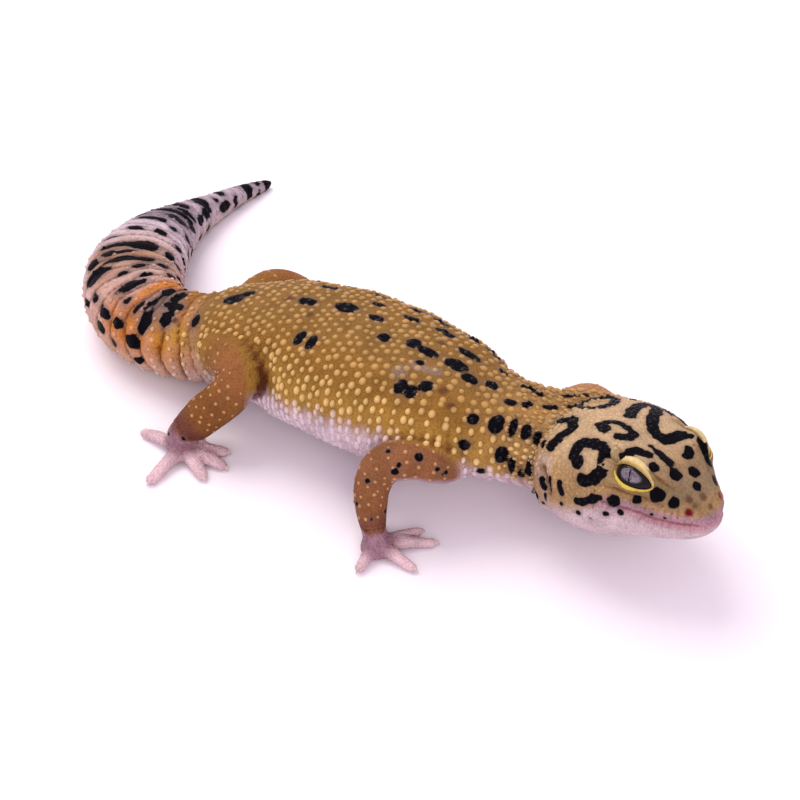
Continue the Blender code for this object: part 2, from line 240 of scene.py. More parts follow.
def fromHead(points):
    return np.asarray(points, float) @ turn.T + np.array(head["at"])


def toHead(points):
    return (np.asarray(points, float) - np.array(head["at"])) @ turn


headRows = [(*fromHead([(x, 0, z)])[0], half, up, down) for x, z, half, up, down in head["rows"]]
allRows = np.array(headRows + [tuple(map(float, row)) for row in body["rows"]])
headCount = len(headRows)


def spinePath(count=900):
    # Centre, left, up and the section's three sizes along the spine, with the distance from the snout.
    at = np.linspace(0, len(allRows) - 1, count)
    values = spline(allRows, at)
    ahead = spline(allRows, np.minimum(at + 0.02, len(allRows) - 1))[:, :3]
    along = unit(ahead - spline(allRows, np.maximum(at - 0.02, 0))[:, :3])
    left = unit(np.cross(along, (0, 0, 1)))
    up = np.cross(left, along)
    lean = np.radians(head["turn"][0]) * np.clip((headCount + 1 - at) / 2, 0, 1)[:, None]
    left, up = left * np.cos(lean) + up * np.sin(lean), up * np.cos(lean) - left * np.sin(lean)
    centre = values[:, :3]
    s = np.r_[0, np.cumsum(np.linalg.norm(np.diff(centre, axis=0), axis=1))]
    power = body["power"] + (head["power"] - body["power"]) * (1 - rise(at, headCount - 2, headCount))
    return dict(centre=centre, left=left, up=up, size=np.maximum(values[:, 3:6], 0.4), s=s, power=power)


path = spinePath()
bodyLength = path["s"][-1]


def bodySections(columns, step=1):
    # Superellipse sections: |across/half|^power + |high/rise|^power = 1, with the drop below the middle.
    angle = turns(columns)
    a, h = np.sin(angle), np.cos(angle)  # column 0 is the top, a quarter turn is the right side
    power = 2 / path["power"][::step, None]
    across, high = -np.sign(a) * abs(a) ** power, np.sign(h) * abs(h) ** power
    size = path["size"][::step]
    half, up, down = (size - np.minimum(body["coat"], 0.12 * size)).T  # less inset where the tail is thin
    tall = np.where(high >= 0, up[:, None], down[:, None]) * high
    return (path["centre"][::step, None] + path["left"][::step, None] * (half[:, None] * across)[..., None]
            + path["up"][::step, None] * tall[..., None])


def limbSections(rows, columns, inset, count):
    # Round sections carried along the limb without twisting; column 0 starts at the top.
    values = spline(rows, np.linspace(0, len(rows) - 1, count))
    centre = values[:, :3]
    along = unit(np.gradient(centre, axis=0))
    up = np.array((0, 0, 1.0)) if abs(along[0, 2]) < 0.8 else np.array((1.0, 0, 0))
    ups = []
    for way in along:
        up = unit(up - way * (up @ way))
        ups.append(up)
    ups = np.array(ups)
    left = np.cross(ups, along)
    angle = turns(columns)
    across, high = (np.maximum(values[:, k] - inset, 0.2) for k in (3, 4))
    return (centre[:, None] + left[:, None] * (across[:, None] * np.sin(angle))[..., None]
            + ups[:, None] * (high[:, None] * np.cos(angle))[..., None])


def alongToe(palm, tip, steps, broad=1.0, flat=1.0):
    # Rows from palm to tip, one per step; broad and flat scale the radius across and up.
    palm, tip = np.array((*palm, 0.0)), np.array((*tip, 0.0))
    way = tip - palm
    return [(*(palm + way * share + (0, 0, high)), wide * broad, wide * flat) for share, high, wide in steps]


def lookAxes(side):  # forward, up and outward axes of an eye and its centre, in the head's frame
    look = unit(np.array(eye["look"]))
    tilt = radians(eye["tilt"])
    fore = np.array((np.cos(tilt), 0, np.sin(tilt)))
    fore = unit(fore - look * (fore @ look))
    up = np.cross(look, fore)
    up = up if up[2] > 0 else -up
    flip = np.array((1, side, 1))
    return fore * flip, up * flip, look * flip, np.array(eye["at"]) * flip


def ballSections(centre, radius, rows=25, columns=36):
    polar, angle = np.linspace(0.02, pi - 0.02, rows)[:, None], turns(columns)
    out = np.stack([np.sin(polar) * np.cos(angle), np.sin(polar) * np.sin(angle),
                    np.cos(polar) + 0 * angle], -1)
    return fromHead((out * radius + centre).reshape(-1, 3)).reshape(rows, columns, 3)


# where a point lies on the animal

limbPaths = {name: spline(rows, np.linspace(0, len(rows) - 1, limbs["steps"]))
             for name, rows in limbs["rows"].items()}


def nearestOf(points, line):
    # Index of the nearest point of a line, by squared distance, in blocks.
    best = np.empty(len(points), int)
    for start in range(0, len(points), 8000):
        block = points[start:start + 8000]
        apart = (block**2).sum(1)[:, None] + (line**2).sum(1) - 2 * block @ line.T
        best[start:start + 8000] = apart.argmin(1)
    return best


def locate(points):
    # Body coordinates: distance from the snout, angle from the top with the right side positive, and the limb
    # a point is on, with its row there and how far below the limb's line it lies.
    points = np.asarray(points, float)
    k = nearestOf(points, path["centre"])
    away = points - path["centre"][k]
    across, high = (away * path["left"][k]).sum(1), (away * path["up"][k]).sum(1)
    half, up, down = path["size"][k].T
    tall = np.where(high >= 0, up, down)
    power = path["power"][k]
    wide, tip = abs(across / half) ** (power / 2), abs(high / tall) ** (power / 2)
    depth = (wide**2 + tip**2) ** (1 / power)
    angle = np.arctan2(-np.sign(across) * wide, np.sign(high) * tip)
    reach = np.hypot(half * np.cos(angle), tall * np.sin(angle)) * np.minimum(depth, 1.2)
    row, limb, below = np.zeros(len(points)), np.zeros(len(points), int), np.zeros(len(points))
    close, foot = np.full(len(points), 9.0), limbs["foot"]
    for number, (name, line) in enumerate(limbPaths.items()):
        near = nearestOf(points, line[:, :3])
        q = distance(points, line[near, :3]) / line[near, 3]
        far = distance(points, np.array((*limbs["toes"][name][0], 2.0)))
        onFoot = (far < foot["reach"]) & (points[:, 2] < foot["top"]) & (depth > limbs["outside"])
        q = np.where(onFoot, np.minimum(q, 1), q)
        place = np.where(onFoot, foot["wrist"] + rise(far, 0, foot["spread"]) * foot["rows"],
                         near / (limbs["steps"] - 1) * limbs["last"])
        take = q < close
        row, limb, close = np.where(take, place, row), np.where(take, number, limb), np.minimum(q, close)
        below = np.where(take, (line[near, 2] - points[:, 2]) / line[near, 4], below)
    onLimb = rise(depth, *limbs["leaving"]) * (close < limbs["close"])
    return dict(s=path["s"][k], angle=np.degrees(angle), reach=reach, row=row, limb=limb, below=below,
                onLimb=onLimb, head=toHead(points), high=points[:, 2], points=points)


def tailRing(s):
    # Ring number on the tail: spacing falls from 3.9 mm at the vent to 2.2 mm at the tip.
    first, spacing, fall = 113.0, 3.9, 0.0165
    return -np.log(np.maximum(1 - fall * (np.asarray(s) - first) / spacing, 0.05)) / fall


# skin

skin = dict(
    voxel=0.62,  # mm, size of the mesh's squares before the head is divided
    smoothing=5, blending=14,  # passes all over, and passes where limbs join
    # x, y, z and reach of each place where a limb flows into the trunk or a toe into the palm
    joins=((18, -12, 15, 4.5), (-38, -11, 15, 4.5), (23, 12, 10, 5), (-43, 9, 13, 6),
           (12.5, -27, 2.5, 2.6), (-36.5, -25, 2.5, 2.6), (42, 24, 2.5, 2.6), (-31, 26, 2.5, 2.6)),
    ringDepth=0.85, foldDepth=0.35, lipDepth=0.35, earDepth=1.5, nostrilDepth=0.5,  # mm
    groin=(-24.5, -15.5, 17, 5.2, 2.6),  # x, y, z, reach and depth
    # the bend at which the painted shade of a hollow is full
    hollow=0.9,  # bend, in 1/mm, of a valley that is fully dark
    # head's x, half width and height along the line of the mouth
    mouth=((26.3, 3.6, 6.8), (25.8, 4.2, 7.0), (23.2, 6.6, 7.2), (20.3, 8.7, 7.7), (18.2, 10, 8.5),
           (16.1, 11.3, 8.9), (12.6, 13.2, 9.4)),
    ear=((-0.8, 14.8, 11), (0.2, 15.1, 9.7), (1.1, 15.4, 8.1), (1.5, 15.4, 6.7)),
    nostril=(24.5, 4.2, 9.2),
    jawFold=((-3.5, 14.6, 12), (-4.5, 13.9, 8), (-3, 13, 3)),  # crease behind the jaw
    # the groin and armpit, where the painted shade in the creases deepens to a dark red
    shadedCreases=((-25, -15, 16.5), (17, -15, 14)),  # groin and armpit, in the body's mm
)


def skinForm():
    # Every tube of flesh as one mesh: closed and overlapping, so that the remesh joins them.
    trunk = bodySections(64, 4)
    *groin, reach, depth = skin["groin"]  # the flank gives way round the bent knee
    inward = unit(trunk.mean(1, keepdims=True) - trunk)
    parts = [trunk + inward * (depth * bump(distance(trunk, groin), reach))[..., None]]
    for name, rows in limbs["rows"].items():
        parts.append(limbSections(rows, 24, limbs["coat"], 60))
        palm, *tips = limbs["toes"][name]
        pad = [(*palm, high, wide, wide) for high, wide in limbs["padSteps"]]
        parts.append(limbSections(pad, 24, 0.1, 12))
        growth = (limbs["toeGrowth"][name], limbs["toeHeight"])
        parts += [limbSections(alongToe(palm, tip, limbs["toeSteps"], *growth), 16, 0.03, 24) for tip in tips]
    for side in (1, -1):
        parts.append(ballSections(np.array(eye["at"]) * (1, side, 1), eye["radius"] + eye["lid"] - 0.3))
    points, faces, start = [], [], 0
    for part in parts:
        quads = closedTube(part, start)
        cross = np.cross(part[1, 1] - part[1, 0], part[2, 0] - part[1, 0])
        if cross @ (part[1, 0] - part[1].mean(0)) < 0:  # faces look outwards
            quads = [face[::-1] for face in quads]
        points.append(part.reshape(-1, 3))
        faces += quads
        start += len(points[-1])
    return np.vstack(points), faces


def meshArrays(mesh):
    co = np.empty(len(mesh.vertices) * 3)
    mesh.vertices.foreach_get("co", co)
    ends = np.empty(len(mesh.edges) * 2, int)
    mesh.edges.foreach_get("vertices", ends)
    return co.reshape(-1, 3) / mm + middle, ends.reshape(-1, 2)


def setPoints(mesh, points):
    mesh.vertices.foreach_set("co", ((points - middle) * mm).astype(np.float32).ravel())
    mesh.update()


def normalsOf(mesh):
    out = np.empty(len(mesh.vertices) * 3, np.float32)
    mesh.vertex_normals.foreach_get("vector", out)
    return out.reshape(-1, 3).astype(float)


def relax(points, ends, passes, share, keep=0.0):
    # Each pass moves a point towards the mean of its neighbours by its share, then back out by keep of that.
    count = np.bincount(ends.ravel(), minlength=len(points)).astype(float)
    share = np.broadcast_to(share, len(points))[:, None]
    for step in range(passes * (2 if keep else 1)):
        total = np.stack([sum(np.bincount(ends[:, k], column[ends[:, 1 - k]], len(points)) for k in (0, 1))
                          for column in points.T], -1)
        points = points + share * (-keep if step % 2 else 1) * (total / count[:, None] - points)
    return points


def lineDistance(points, line):
    # Distance to a line of straight stretches, and how far along it the nearest place is.
    line = np.asarray(line, float)
    best, along = np.full(len(points), 1e9), np.zeros(len(points))
    total = np.linalg.norm(np.diff(line, axis=0), axis=1)
    run = np.r_[0, np.cumsum(total)]
    for k in range(len(line) - 1):
        way = line[k + 1] - line[k]
        t = np.clip(((points - line[k]) @ way) / (way @ way), 0, 1)
        apart = distance(points - line[k], t[:, None] * way)
        take = apart < best
        best, along = np.where(take, apart, best), np.where(take, run[k] + t * total[k], along)
    return best, along


def almond(local, axes):
    # Eye coordinate: below 1 inside the opening, 1 on its edge, with corners sharper than an ellipse's.
    fore, up, look, centre = axes
    away = unit(local - centre)
    front = np.clip(away @ look, -1, 1)
    reach = np.arccos(front) * eye["radius"] / np.maximum(np.sqrt(1 - front**2), 1e-6)
    u, v = (away @ fore) * reach, (away @ up) * reach  # mm over the ball, forward and up
    a, b = eye["opening"]
    value = (abs(u / a) ** eye["power"] + abs(v / b) ** eye["power"]) ** (1 / eye["power"])
    return np.where(front > -0.2, value, 9)


def headShape(points, normals, local):
    # Lips, ear slits, nostrils and the hollow between the brows, pushed along the normals; numbers in mm.
    onHead = rise(local[:, 0], -9, -6)
    shift = np.zeros(len(points))
    for place in (local, local * (1, -1, 1)):
        mine = place[:, 1] > -0.5
        apart, run = lineDistance(place, skin["mouth"])
        under = place[:, 2] - np.interp(place[:, 0], [12.6, 16.1, 20.3, 26.3], [9.4, 8.9, 7.7, 6.8])
        lips = mine * (place[:, 0] > 11)
        shift -= lips * skin["lipDepth"] * bump(apart, 0.30)
        scales = abs(np.sin(run / 1.25 * pi)) ** 0.5
        shift += lips * (0.16 * scales + 0.12) * bump(abs(under) - 1.1, 0.75) * (apart < 3)
        apart, _ = lineDistance(place, skin["ear"])
        shift += mine * 0.15 * bump(apart - 1.6, 0.7) - mine * skin["earDepth"] * bump(apart, 0.5)
        apart = distance(place, skin["nostril"])
        shift += mine * (0.2 * bump(apart - 1.3, 0.45) - skin["nostrilDepth"] * bump(apart, 0.65))
        fold, _ = lineDistance(place, skin["jawFold"])
        shift -= mine * 0.45 * bump(fold, 0.7)
        shift += mine * 0.25 * bump(fold - 1.6, 0.9)
    x, y, z = local.T
    top = rise(z, 12, 15)
    shift -= 0.9 * top * bump(y, 3.2) * bump(x - 15, 5.5)  # hollow between the eyes
    shift += 0.35 * top * bump(abs(y) - 3.6, 1.4) * bump(x - 20, 4)  # ridges from the brows to the nose
    shift += 0.5 * bump(x - 5, 5) * bump(abs(y) - 13, 3) * bump(z - 9, 3)  # jaw muscle
    return points + normals * (shift * onHead)[:, None]


def eyeHoles(points):
    # Skin inside the lids' opening drops under the eyeball, and the lid's edge swells a little.
    local = toHead(points)
    moved = local.copy()
    for side in (1, -1):
        axes = lookAxes(side)
        value = almond(local, axes)
        away = local - axes[3]
        reach = np.linalg.norm(away, axis=1)
        near = reach < eye["holeReach"]
        inner = 1 - rise(value, 0.9, 1.06)
        target = np.where(near, reach * (1 - inner) + eye["hole"] * inner, reach)
        target += near * (0.28 * bump(value - 1.25, 0.16) - 0.22 * bump(value - 1.62, 0.14))
        moved = np.where(near[:, None], axes[3] + unit(away) * target[:, None], moved)
    return fromHead(moved)


def foldWobble(s, degrees):  # how far a tail ring strays, in rings, on its way round
    return 0.10 * np.sin(3 * np.radians(degrees) + 0.4 * s) + 0.05 * np.sin(7 * np.radians(degrees))


def creases(turn, sharp=0.7):  # 1 in a narrow valley at each half turn, falling to 0 between them
    return 1 - abs(np.sin(turn)) ** sharp


def bodyFolds(at):
    # Rings of the tail, creases of the neck and slack along the flank, in mm.
    s, angle, side, free = at["s"], np.radians(at["angle"]), abs(at["angle"]), 1 - at["onLimb"]
    crease = creases(pi * (tailRing(s) + foldWobble(s, at["angle"])), 0.6)
    swollen = 0.7 + 0.75 * rise(side, 45, 95) * (1 - rise(s, 140, 165))
    shift = -skin["ringDepth"] * crease * swollen * np.interp(s, [112, 120, 180, 218], [0, 1, 0.6, 0.25])
    shift += 0.22 * (1 - crease) * rise(side, 50, 90) * bump(s - 126, 14)
    shift -= 0.3 * (bump(s - 115, 5) * rise(side, 35, 70)) * creases(pi * s / 2.1)  # vent
    neck = bump(s - 40, 8) * (0.25 + 0.75 * rise(side, 50, 100))
    shift -= skin["foldDepth"] * neck * (0.5 + 0.5 * np.cos(2 * pi * s / 2.9 + 1.3 * np.sin(3 * angle))) ** 2
    armpit = bump(s - 52, 4.5) * bump(side - 68, 16)
    shift -= 0.3 * armpit * creases(pi * (s / 1.9 + angle * 1.6))
    groin = bump(s - 98, 6) * bump(side - 60, 22)
    shift -= 0.25 * groin * creases(pi * (s / 2.2 - angle * 1.8))
    trunk = rise(s, 45, 60) * (1 - rise(s, 100, 112))
    shift += trunk * 0.2 * np.sin(s * 0.31 + 2.2 * np.sin(angle * 2)) * rise(side, 50, 95)
    shift += trunk * 0.15 * np.sin(s * 0.47 + 1.7) * np.sin(angle * 3 + 0.8)
    return shift * free


def limbFolds(at):
    # Creases at wrists and ankles, loose folds on the upper limbs, and rings of scales along the toes.
    row = at["row"]
    crease = sum(bump(row - place, 0.055) for place in (5.75, 6.0, 6.2))
    loose = bump(row - 1.2, 0.9) * creases(row * 7.5 + at["limb"])
    toe = rise(row, 6.6, 7.1) * 0.05 * (1 - 2 * abs(np.sin(row * pi / 0.16)))
    return (-0.2 * crease - 0.16 * loose + toe) * at["onLimb"]


def hollowOf(mesh, points, ends):
    # Curvature into a valley, 0 to 1: the mean of a point's neighbours stands off it along the normal.
    length = np.linalg.norm(points[ends[:, 0]] - points[ends[:, 1]], axis=1)
    count = np.maximum(np.bincount(ends.ravel(), minlength=len(points)), 1)
    spread = sum(np.bincount(ends[:, k], length, len(points)) for k in (0, 1)) / count
    lift = ((relax(points, ends, 1, 1.0) - points) * normalsOf(mesh)).sum(1)
    bend = relax((4 * lift / spread**2)[:, None], ends, 2, 0.6)[:, 0]
    return np.clip(bend / skin["hollow"], 0, 1)


def makeSkin(material):
    points, faces = skinForm()
    rough = piece("roughForm", points, faces, material, None)
    step = rough.modifiers.new("remesh", "REMESH")
    step.mode, step.voxel_size, step.adaptivity = "VOXEL", skin["voxel"] * mm, 0
    graph = bpy.context.evaluated_depsgraph_get()
    mesh = bpy.data.meshes.new_from_object(rough.evaluated_get(graph))
    bpy.data.objects.remove(rough, do_unlink=True)
    points, ends = meshArrays(mesh)
    tip = bump(distance(points, body["rows"][-1][:3]), 7)
    points = relax(points, ends, skin["smoothing"], 0.5 * (1 - 0.85 * tip), 1.04)
    for *place, reach in skin["joins"]:
        near = bump(distance(points, place), reach * 0.75)
        points = relax(points, ends, skin["blending"], 0.5 * near)
    setPoints(mesh, points)
    work = bmesh.new()
    work.from_mesh(mesh)
    local = toHead(meshArrays(mesh)[0])
    fine = (local[:, 0] > -2) & (local[:, 2] > 1.0)  # the face and crown get squares of half the size
    work.verts.ensure_lookup_table()
    edges = [edge for edge in work.edges if fine[edge.verts[0].index] and fine[edge.verts[1].index]]
    bmesh.ops.subdivide_edges(work, edges=edges, cuts=1, use_grid_fill=True, smooth=0.0)
    bmesh.ops.triangulate(work, faces=[face for face in work.faces if len(face.verts) > 4])
    work.to_mesh(mesh)
    work.free()
    points, ends = meshArrays(mesh)
    points = relax(points, ends, 2, 0.35 * rise(toHead(points)[:, 0], -4, 0))
    setPoints(mesh, points)
    at = locate(points)
    points = points + normalsOf(mesh) * (bodyFolds(at) + limbFolds(at))[:, None]
    setPoints(mesh, points)
    points = eyeHoles(headShape(points, normalsOf(mesh), at["head"]))
    # pads and the tail's belly lie flat on the floor
    points[:, 2] -= rise(-points[:, 2], -0.6, -0.1) * points[:, 2]
    points[:, 2] = np.maximum(points[:, 2], 0.0)
    setPoints(mesh, points)
    mesh.polygons.foreach_set("use_smooth", [True] * len(mesh.polygons))
    mesh.materials.clear()
    mesh.materials.append(material)
    return placed("skin", mesh)


# markings, in mm along the body from the snout and degrees round it, right side positive

marks = dict(
    # distance, angle, half length, half width of the spots on the trunk
    trunk=((109, 4, 1.9, 1.3), (107, -3, 1.6, 0.8), (93, 0, 1.7, 0.9), (85, -5, 2.4, 1.3),
           (93, -25, 1.6, 0.9), (81, -20, 1.4, 0.8), (78, -5, 1.6, 0.8), (84, -36, 1.6, 0.8),
           (73, -20, 1.8, 0.8), (88, 30, 1.0, 1.7), (85, 30, 1.0, 1.7), (65, -25, 2.3, 1.0),
           (67, 0, 1.5, 1.0), (63.5, 1, 1.9, 0.8), (58, -15, 2.2, 0.9), (58, 0, 1.8, 1.0),
           (63, 11, 0.7, 0.6), (63, 35, 1.0, 1.6), (61, 36, 0.9, 1.4), (59.5, 27, 1.0, 1.2),
           (55, 5, 1.3, 0.9), (51, 0, 1.4, 0.8), (51, -25, 1.3, 0.7), (73, 5, 1.3, 0.9), (51, 40, 1.0, 1.1),
           (47, 40, 1.2, 1.9), (44, 41, 0.7, 2.0), (41.5, 44, 0.9, 1.6), (39.5, 48, 0.6, 1.4),
           (37.5, 52, 0.9, 0.9), (51, 70, 0.9, 1.0), (45, 76, 1.1, 1.5), (43, 88, 0.7, 1.4),
           (41, 98, 0.6, 0.9), (48, 100, 0.6, 0.7), (44, -15, 1.5, 0.75), (42, -9, 1.0, 0.5),
           (46, 11, 1.2, 0.7), (43, 9, 0.9, 0.8), (39, 6, 1.2, 0.6), (37, -14, 1.4, 0.6),
           (35, 2, 1.1, 0.45), (34, -16, 1.1, 0.5), (36, 22, 1.1, 0.5), (33, -5, 1.1, 0.4),
           (75, -37, 1.7, 1.0), (69, -40, 2.2, 1.0), (61, -42, 1.8, 0.9), (56, -44, 1.7, 0.9)),
    # bars and spots on the tail
    tail=((216, 0, 1.4, 4.0), (212, 0, 0.8, 0.9), (208, -20, 1.2, 3.0), (205, 35, 0.6, 0.7),
          (199, 0, 0.8, 1.2), (197, -75, 2.0, 1.0), (195, -28, 0.6, 0.8), (190, -8, 1.3, 3.2),
          (188, -60, 1.5, 1.1), (186, 38, 0.6, 0.8), (183, 10, 1.5, 2.6), (184, -66, 1.4, 1.1),
          (180, -30, 0.7, 2.4), (177, -30, 1.1, 3.6), (176, 12, 1.0, 2.6), (176, -62, 0.9, 1.4),
          (173, -30, 1.0, 3.0), (172, 26, 0.7, 1.6), (169, 2, 0.6, 2.0), (169, -12, 0.8, 0.9),
          (167, -37, 0.9, 0.9), (162, 5, 0.7, 1.3), (162, -25, 1.1, 1.2), (160, -60, 0.8, 1.1),
          (158, 34, 0.5, 1.4), (154, 15, 0.8, 2.8), (154, -16, 1.6, 2.4), (151, 23, 0.8, 1.4),
          (151, 4, 0.6, 1.7), (153, -50, 1.5, 1.1), (150, 47, 1.2, 1.3), (148, 10, 1.0, 2.5),
          (147.5, -15, 1.0, 2.4), (144, -9, 0.7, 1.4), (142, 10, 0.6, 0.9), (145, -40, 1.1, 1.3),
          (140, -46, 0.9, 1.1), (139.5, -10, 0.6, 1.1), (145.5, 42, 1.3, 2.8), (137, 11, 0.9, 2.4),
          (141, 58, 1.0, 0.8), (137, 62, 1.3, 1.0), (144, 80, 1.2, 0.6), (134, 30, 0.5, 0.9),
          (129, -12, 1.2, 1.3), (125, -11, 1.1, 2.1), (131, 24, 0.5, 1.6), (129, 9, 0.5, 2.0),
          (128, 44, 0.9, 2.5), (124, 30, 1.0, 1.8), (124, 10, 1.7, 1.0), (116, 30, 0.9, 1.3),
          (133, 64, 0.9, 1.0), (129.5, 80, 1.2, 1.2), (137, 86, 1.0, 0.9), (134, 94, 0.8, 0.6),
          (129, 106, 0.7, 0.7)),
    # spots that are brown and soft
    faint=((90, 10, 0.9, 0.9), (97, 0, 1.2, 0.7), (63, -11, 1.5, 0.6), (57, 25, 0.8, 1.2),
           (55, 35, 0.7, 0.9), (54, -39, 1.7, 1.0), (122, 32, 0.9, 1.0), (47, -34, 1.2, 0.8)),
    smudges=((65, 24, 1.4, 1.6), (62.5, 14, 1.8, 0.9), (60, 12, 1.2, 1.0)),  # pale grey patches, as above
    # strokes on the crown in the head's frame, x, y and z, then the stroke's half width
    strokes=((1.2, (5.5, 1, 18), (4, 4, 18), (3.5, 8, 17), (6, 7.5, 17), (9, 3, 18),
              (11.5, 1, 18), (14, 1.5, 17.5), (14.5, 5, 17)),
             (0.6, (14.5, 5, 17), (15.5, 6, 16.5)), (1.0, (18, 3, 16.5), (18.5, 2, 16)),
             (1.1, (5.5, -5.5, 17.5), (4, -5, 17.5)),
             (0.7, (4, -4, 17.5), (5, -3, 18), (7, -2.5, 18), (10, -3, 18)),
             (0.95, (10, -3, 18), (10, -4.5, 18), (8.5, -5.5, 17.5)),
             (0.6, (-4.5, -1.5, 17), (-5.5, 1, 17), (-5, 4, 16.5), (-4, 6, 16)),
             (1.0, (-4, 6, 16), (-2.5, 6, 16.5), (-0.5, 3, 17.5), (-1, 0.5, 17.5)),
             (0.6, (-1, 0.5, 17.5), (-2.5, -1, 17), (-4.5, -1.5, 17)),
             (0.75, (-3.5, -7.5, 16), (-2, -6, 17)),
             (1.05, (-2, -6, 17), (0, -8, 16.5), (-0.5, -10, 15.5), (-1, -12, 14)),
             (1.15, (6, -12.5, 14), (4.5, -12, 15), (4.5, -10, 16), (6.5, -9, 16.5), (8.5, -9, 16.5),
              (10, -10.5, 15.5), (10.5, -12, 14), (9.5, -13, 12.5), (8, -13.5, 12)),
             (1.05, (12.5, -8, 16.5), (13, -6, 17), (15, -5, 17)),
             (0.55, (14, -2.5, 18), (15.5, -2.5, 17.5)), (1.1, (16, -2.5, 17), (18, -2.5, 16)),
             (1.2, (4, 13, 14), (5, 11, 16), (8.5, 9.5, 16.5), (10, 11.5, 15)),
             (1.0, (-2, 11, 15), (0, 8.5, 16.5)), (0.9, (16.5, 6.5, 15.5), (18, 6.5, 14.5)),
             (0.8, (8, -14.5, 8), (9.5, -14.5, 8.5), (11.5, -13.5, 10)),
             (0.8, (-0.5, -15, 8.5), (0, -15.5, 7.5)), (0.7, (4, -15, 10), (4.5, -15.5, 8.5)),
             (0.45, (-3.5, -14, 4), (-3, -14, 3)), (0.4, (0.5, -15, 6), (0.5, -15, 5)),
             (0.9, (-6, -12.5, 8.5), (-6, -13, 6.5)),
             (0.55, (1.5, -15.5, 10), (2, -15.5, 8))),
    # x, y, z and radius of the spots on the snout and cheeks
    dots=((17, -6, 15.5, 1.0), (20, -3, 14.5, 1.35), (21, 1, 14, 1.15), (23, -0.5, 12.5, 0.95),
          (20, -7.5, 12, 1.4), (22.5, -6, 11, 1.05), (14, -12, 10, 1.25), (11, -14, 9.5, 0.9),
          (17.5, -10, 11, 0.85), (4.5, -15, 6, 0.5), (8, -14.5, 5.5, 0.6), (13, -13, 7, 0.6),
          (22, -7.5, 8, 0.4), (15.5, -12, 8, 0.6), (20, -9, 8.5, 0.5), (18, -2, 15.5, 0.7),
          (19.5, 6.5, 13, 1.2), (22.5, 5, 11, 1.0), (14, 12.5, 10, 1.15), (9, 14.5, 8.5, 1.1),
          (4.5, 15, 9, 0.8), (17.5, 9.5, 10, 0.85), (-3.5, -13, 8.5, 0.9), (-2.5, -14.5, 4.5, 0.8),
          (-0.5, -15.5, 3, 0.5), (0.5, 15.5, 5.5, 0.6)),
    brown=((24.5, -0.5, 11, 0.9), (26, 0, 9.5, 0.7), (24, -3.5, 11.5, 0.8), (25, -3, 10.5, 0.6),
           (10.5, -14, 5, 0.4), (18, 9.5, 10.5, 0.9)),
    # x, y, z and radius of the spots on the right limbs and the side of the neck
    limb=((11, -21, 19.5, 0.5), (16.5, -19, 19, 0.85), (14, -22, 18, 0.5), (13.5, -22.5, 16.5, 0.75),
          (19.5, -17.5, 16.5, 0.5), (21, -16.5, 15.5, 0.45), (20.5, -17, 15, 0.35), (9, -25, 14, 0.6),
          (11.5, -21, 10, 0.5), (7.5, -27, 9, 0.5), (10, -26.5, 4, 0.45), (12.5, -24, 7.5, 0.5),
          (11.5, -27.5, 7.5, 0.35), (-35, -25.5, 5, 0.5), (-38.5, -25.5, 4.5, 0.45), (-41, -22.5, 9.5, 0.5)),
    # marks put by chance where they are hidden: stretch, side in degrees, gap, half length and half width
    chance=dict(trunk=(38, 110, (-105, -42), 6.2, (1.4, 1.1)), tail=(118, 212, (-175, -48), 4.4, (1.0, 1.7)),
                faint=(44, 112, (-95, -40), 8.0, (1.1, 0.9))),
    grown=dict(trunk=1.12, tail=1.3),  # the spots' growth in length and width
)


def spotDistance(at, spots):
    # Signed distance in mm to the nearest oval: along the body, and round it by the local radius.
    s, angle, reach = at["s"], np.radians(at["angle"]), at["reach"]
    best = np.full(len(s), farOff)
    for place, degrees, length, width in spots:
        near = np.flatnonzero(abs(s - place) < 7)  # mm, more than any spot's half length
        around = (angle[near] - radians(degrees) + pi) % (2 * pi) - pi
        q = np.hypot((s[near] - place) / length, around * reach[near] / width)
        best[near] = np.minimum(best[near], (q - 1) * min(length, width))
    return best


def rolledOut(s, degrees):  # a place on the body laid flat, in mm along and round it
    k = min(np.searchsorted(path["s"], s), len(path["s"]) - 1)
    return s, radians(degrees) * path["size"][k, 0]


def chanceSpots(low, high, side, gap, shape, taken):
    # Spots placed by chance in a stretch of the body, kept apart from one another and from the others.
    made = []
    for _ in range(900):  # tries, far more than the spots that find room
        s, angle = rng.uniform(low, high), rng.uniform(*side)
        others = np.array([rolledOut(*spot[:2]) for spot in list(taken) + made])
        if np.hypot(*(others - rolledOut(s, angle)).T).min() > gap:
            scale = rng.uniform(0.8, 1.2)
            made.append((s, angle, shape[0] * scale, shape[1] * scale))
    return made


def markFields(at):
    # Signed distance to the dark marks, and to the faint brown ones.
    dark = np.minimum(spotDistance(at, spots["trunk"]), spotDistance(at, spots["tail"]))
    torn = np.sin(2.1 * at["s"] + 3) * np.sin(np.radians(at["angle"]) * 9 + at["s"])
    dark += 0.28 * torn * rise(at["s"], 112, 120)  # the tail's marks are torn at the edges
    faint = spotDistance(at, spots["faint"])
    dark, faint = (np.where(at["onLimb"] > 0.5, farOff, apart) for apart in (dark, faint))
    near = np.flatnonzero(at["s"] < 50)  # mm, past the last stroke and dot of the head
    x, y, z = at["head"][near].T
    wobble = 0.16 * np.sin(2.3 * x + 1.1 * y) * np.sin(2.0 * y - 0.9 * x + z)
    wobble = wobble + 0.09 * np.sin(4.9 * x + z) * np.sin(4.4 * y)
    for radius, line in strokeLines:
        apart = np.full(len(near), farOff)
        for start in range(0, len(near), 20000):
            block = at["points"][near[start:start + 20000]]
            apart[start:start + 20000] = distance(block[:, None], line[None]).min(1)
        dark[near] = np.minimum(dark[near], apart - radius + wobble)
    for place, radius in spots["brown"]:
        faint = np.minimum(faint, distance(at["points"], place) - radius)
    for place, radius in spots["limb"]:
        dark = np.minimum(dark, distance(at["points"], place) - radius)
    return dark, faint


# the ground colour of each place

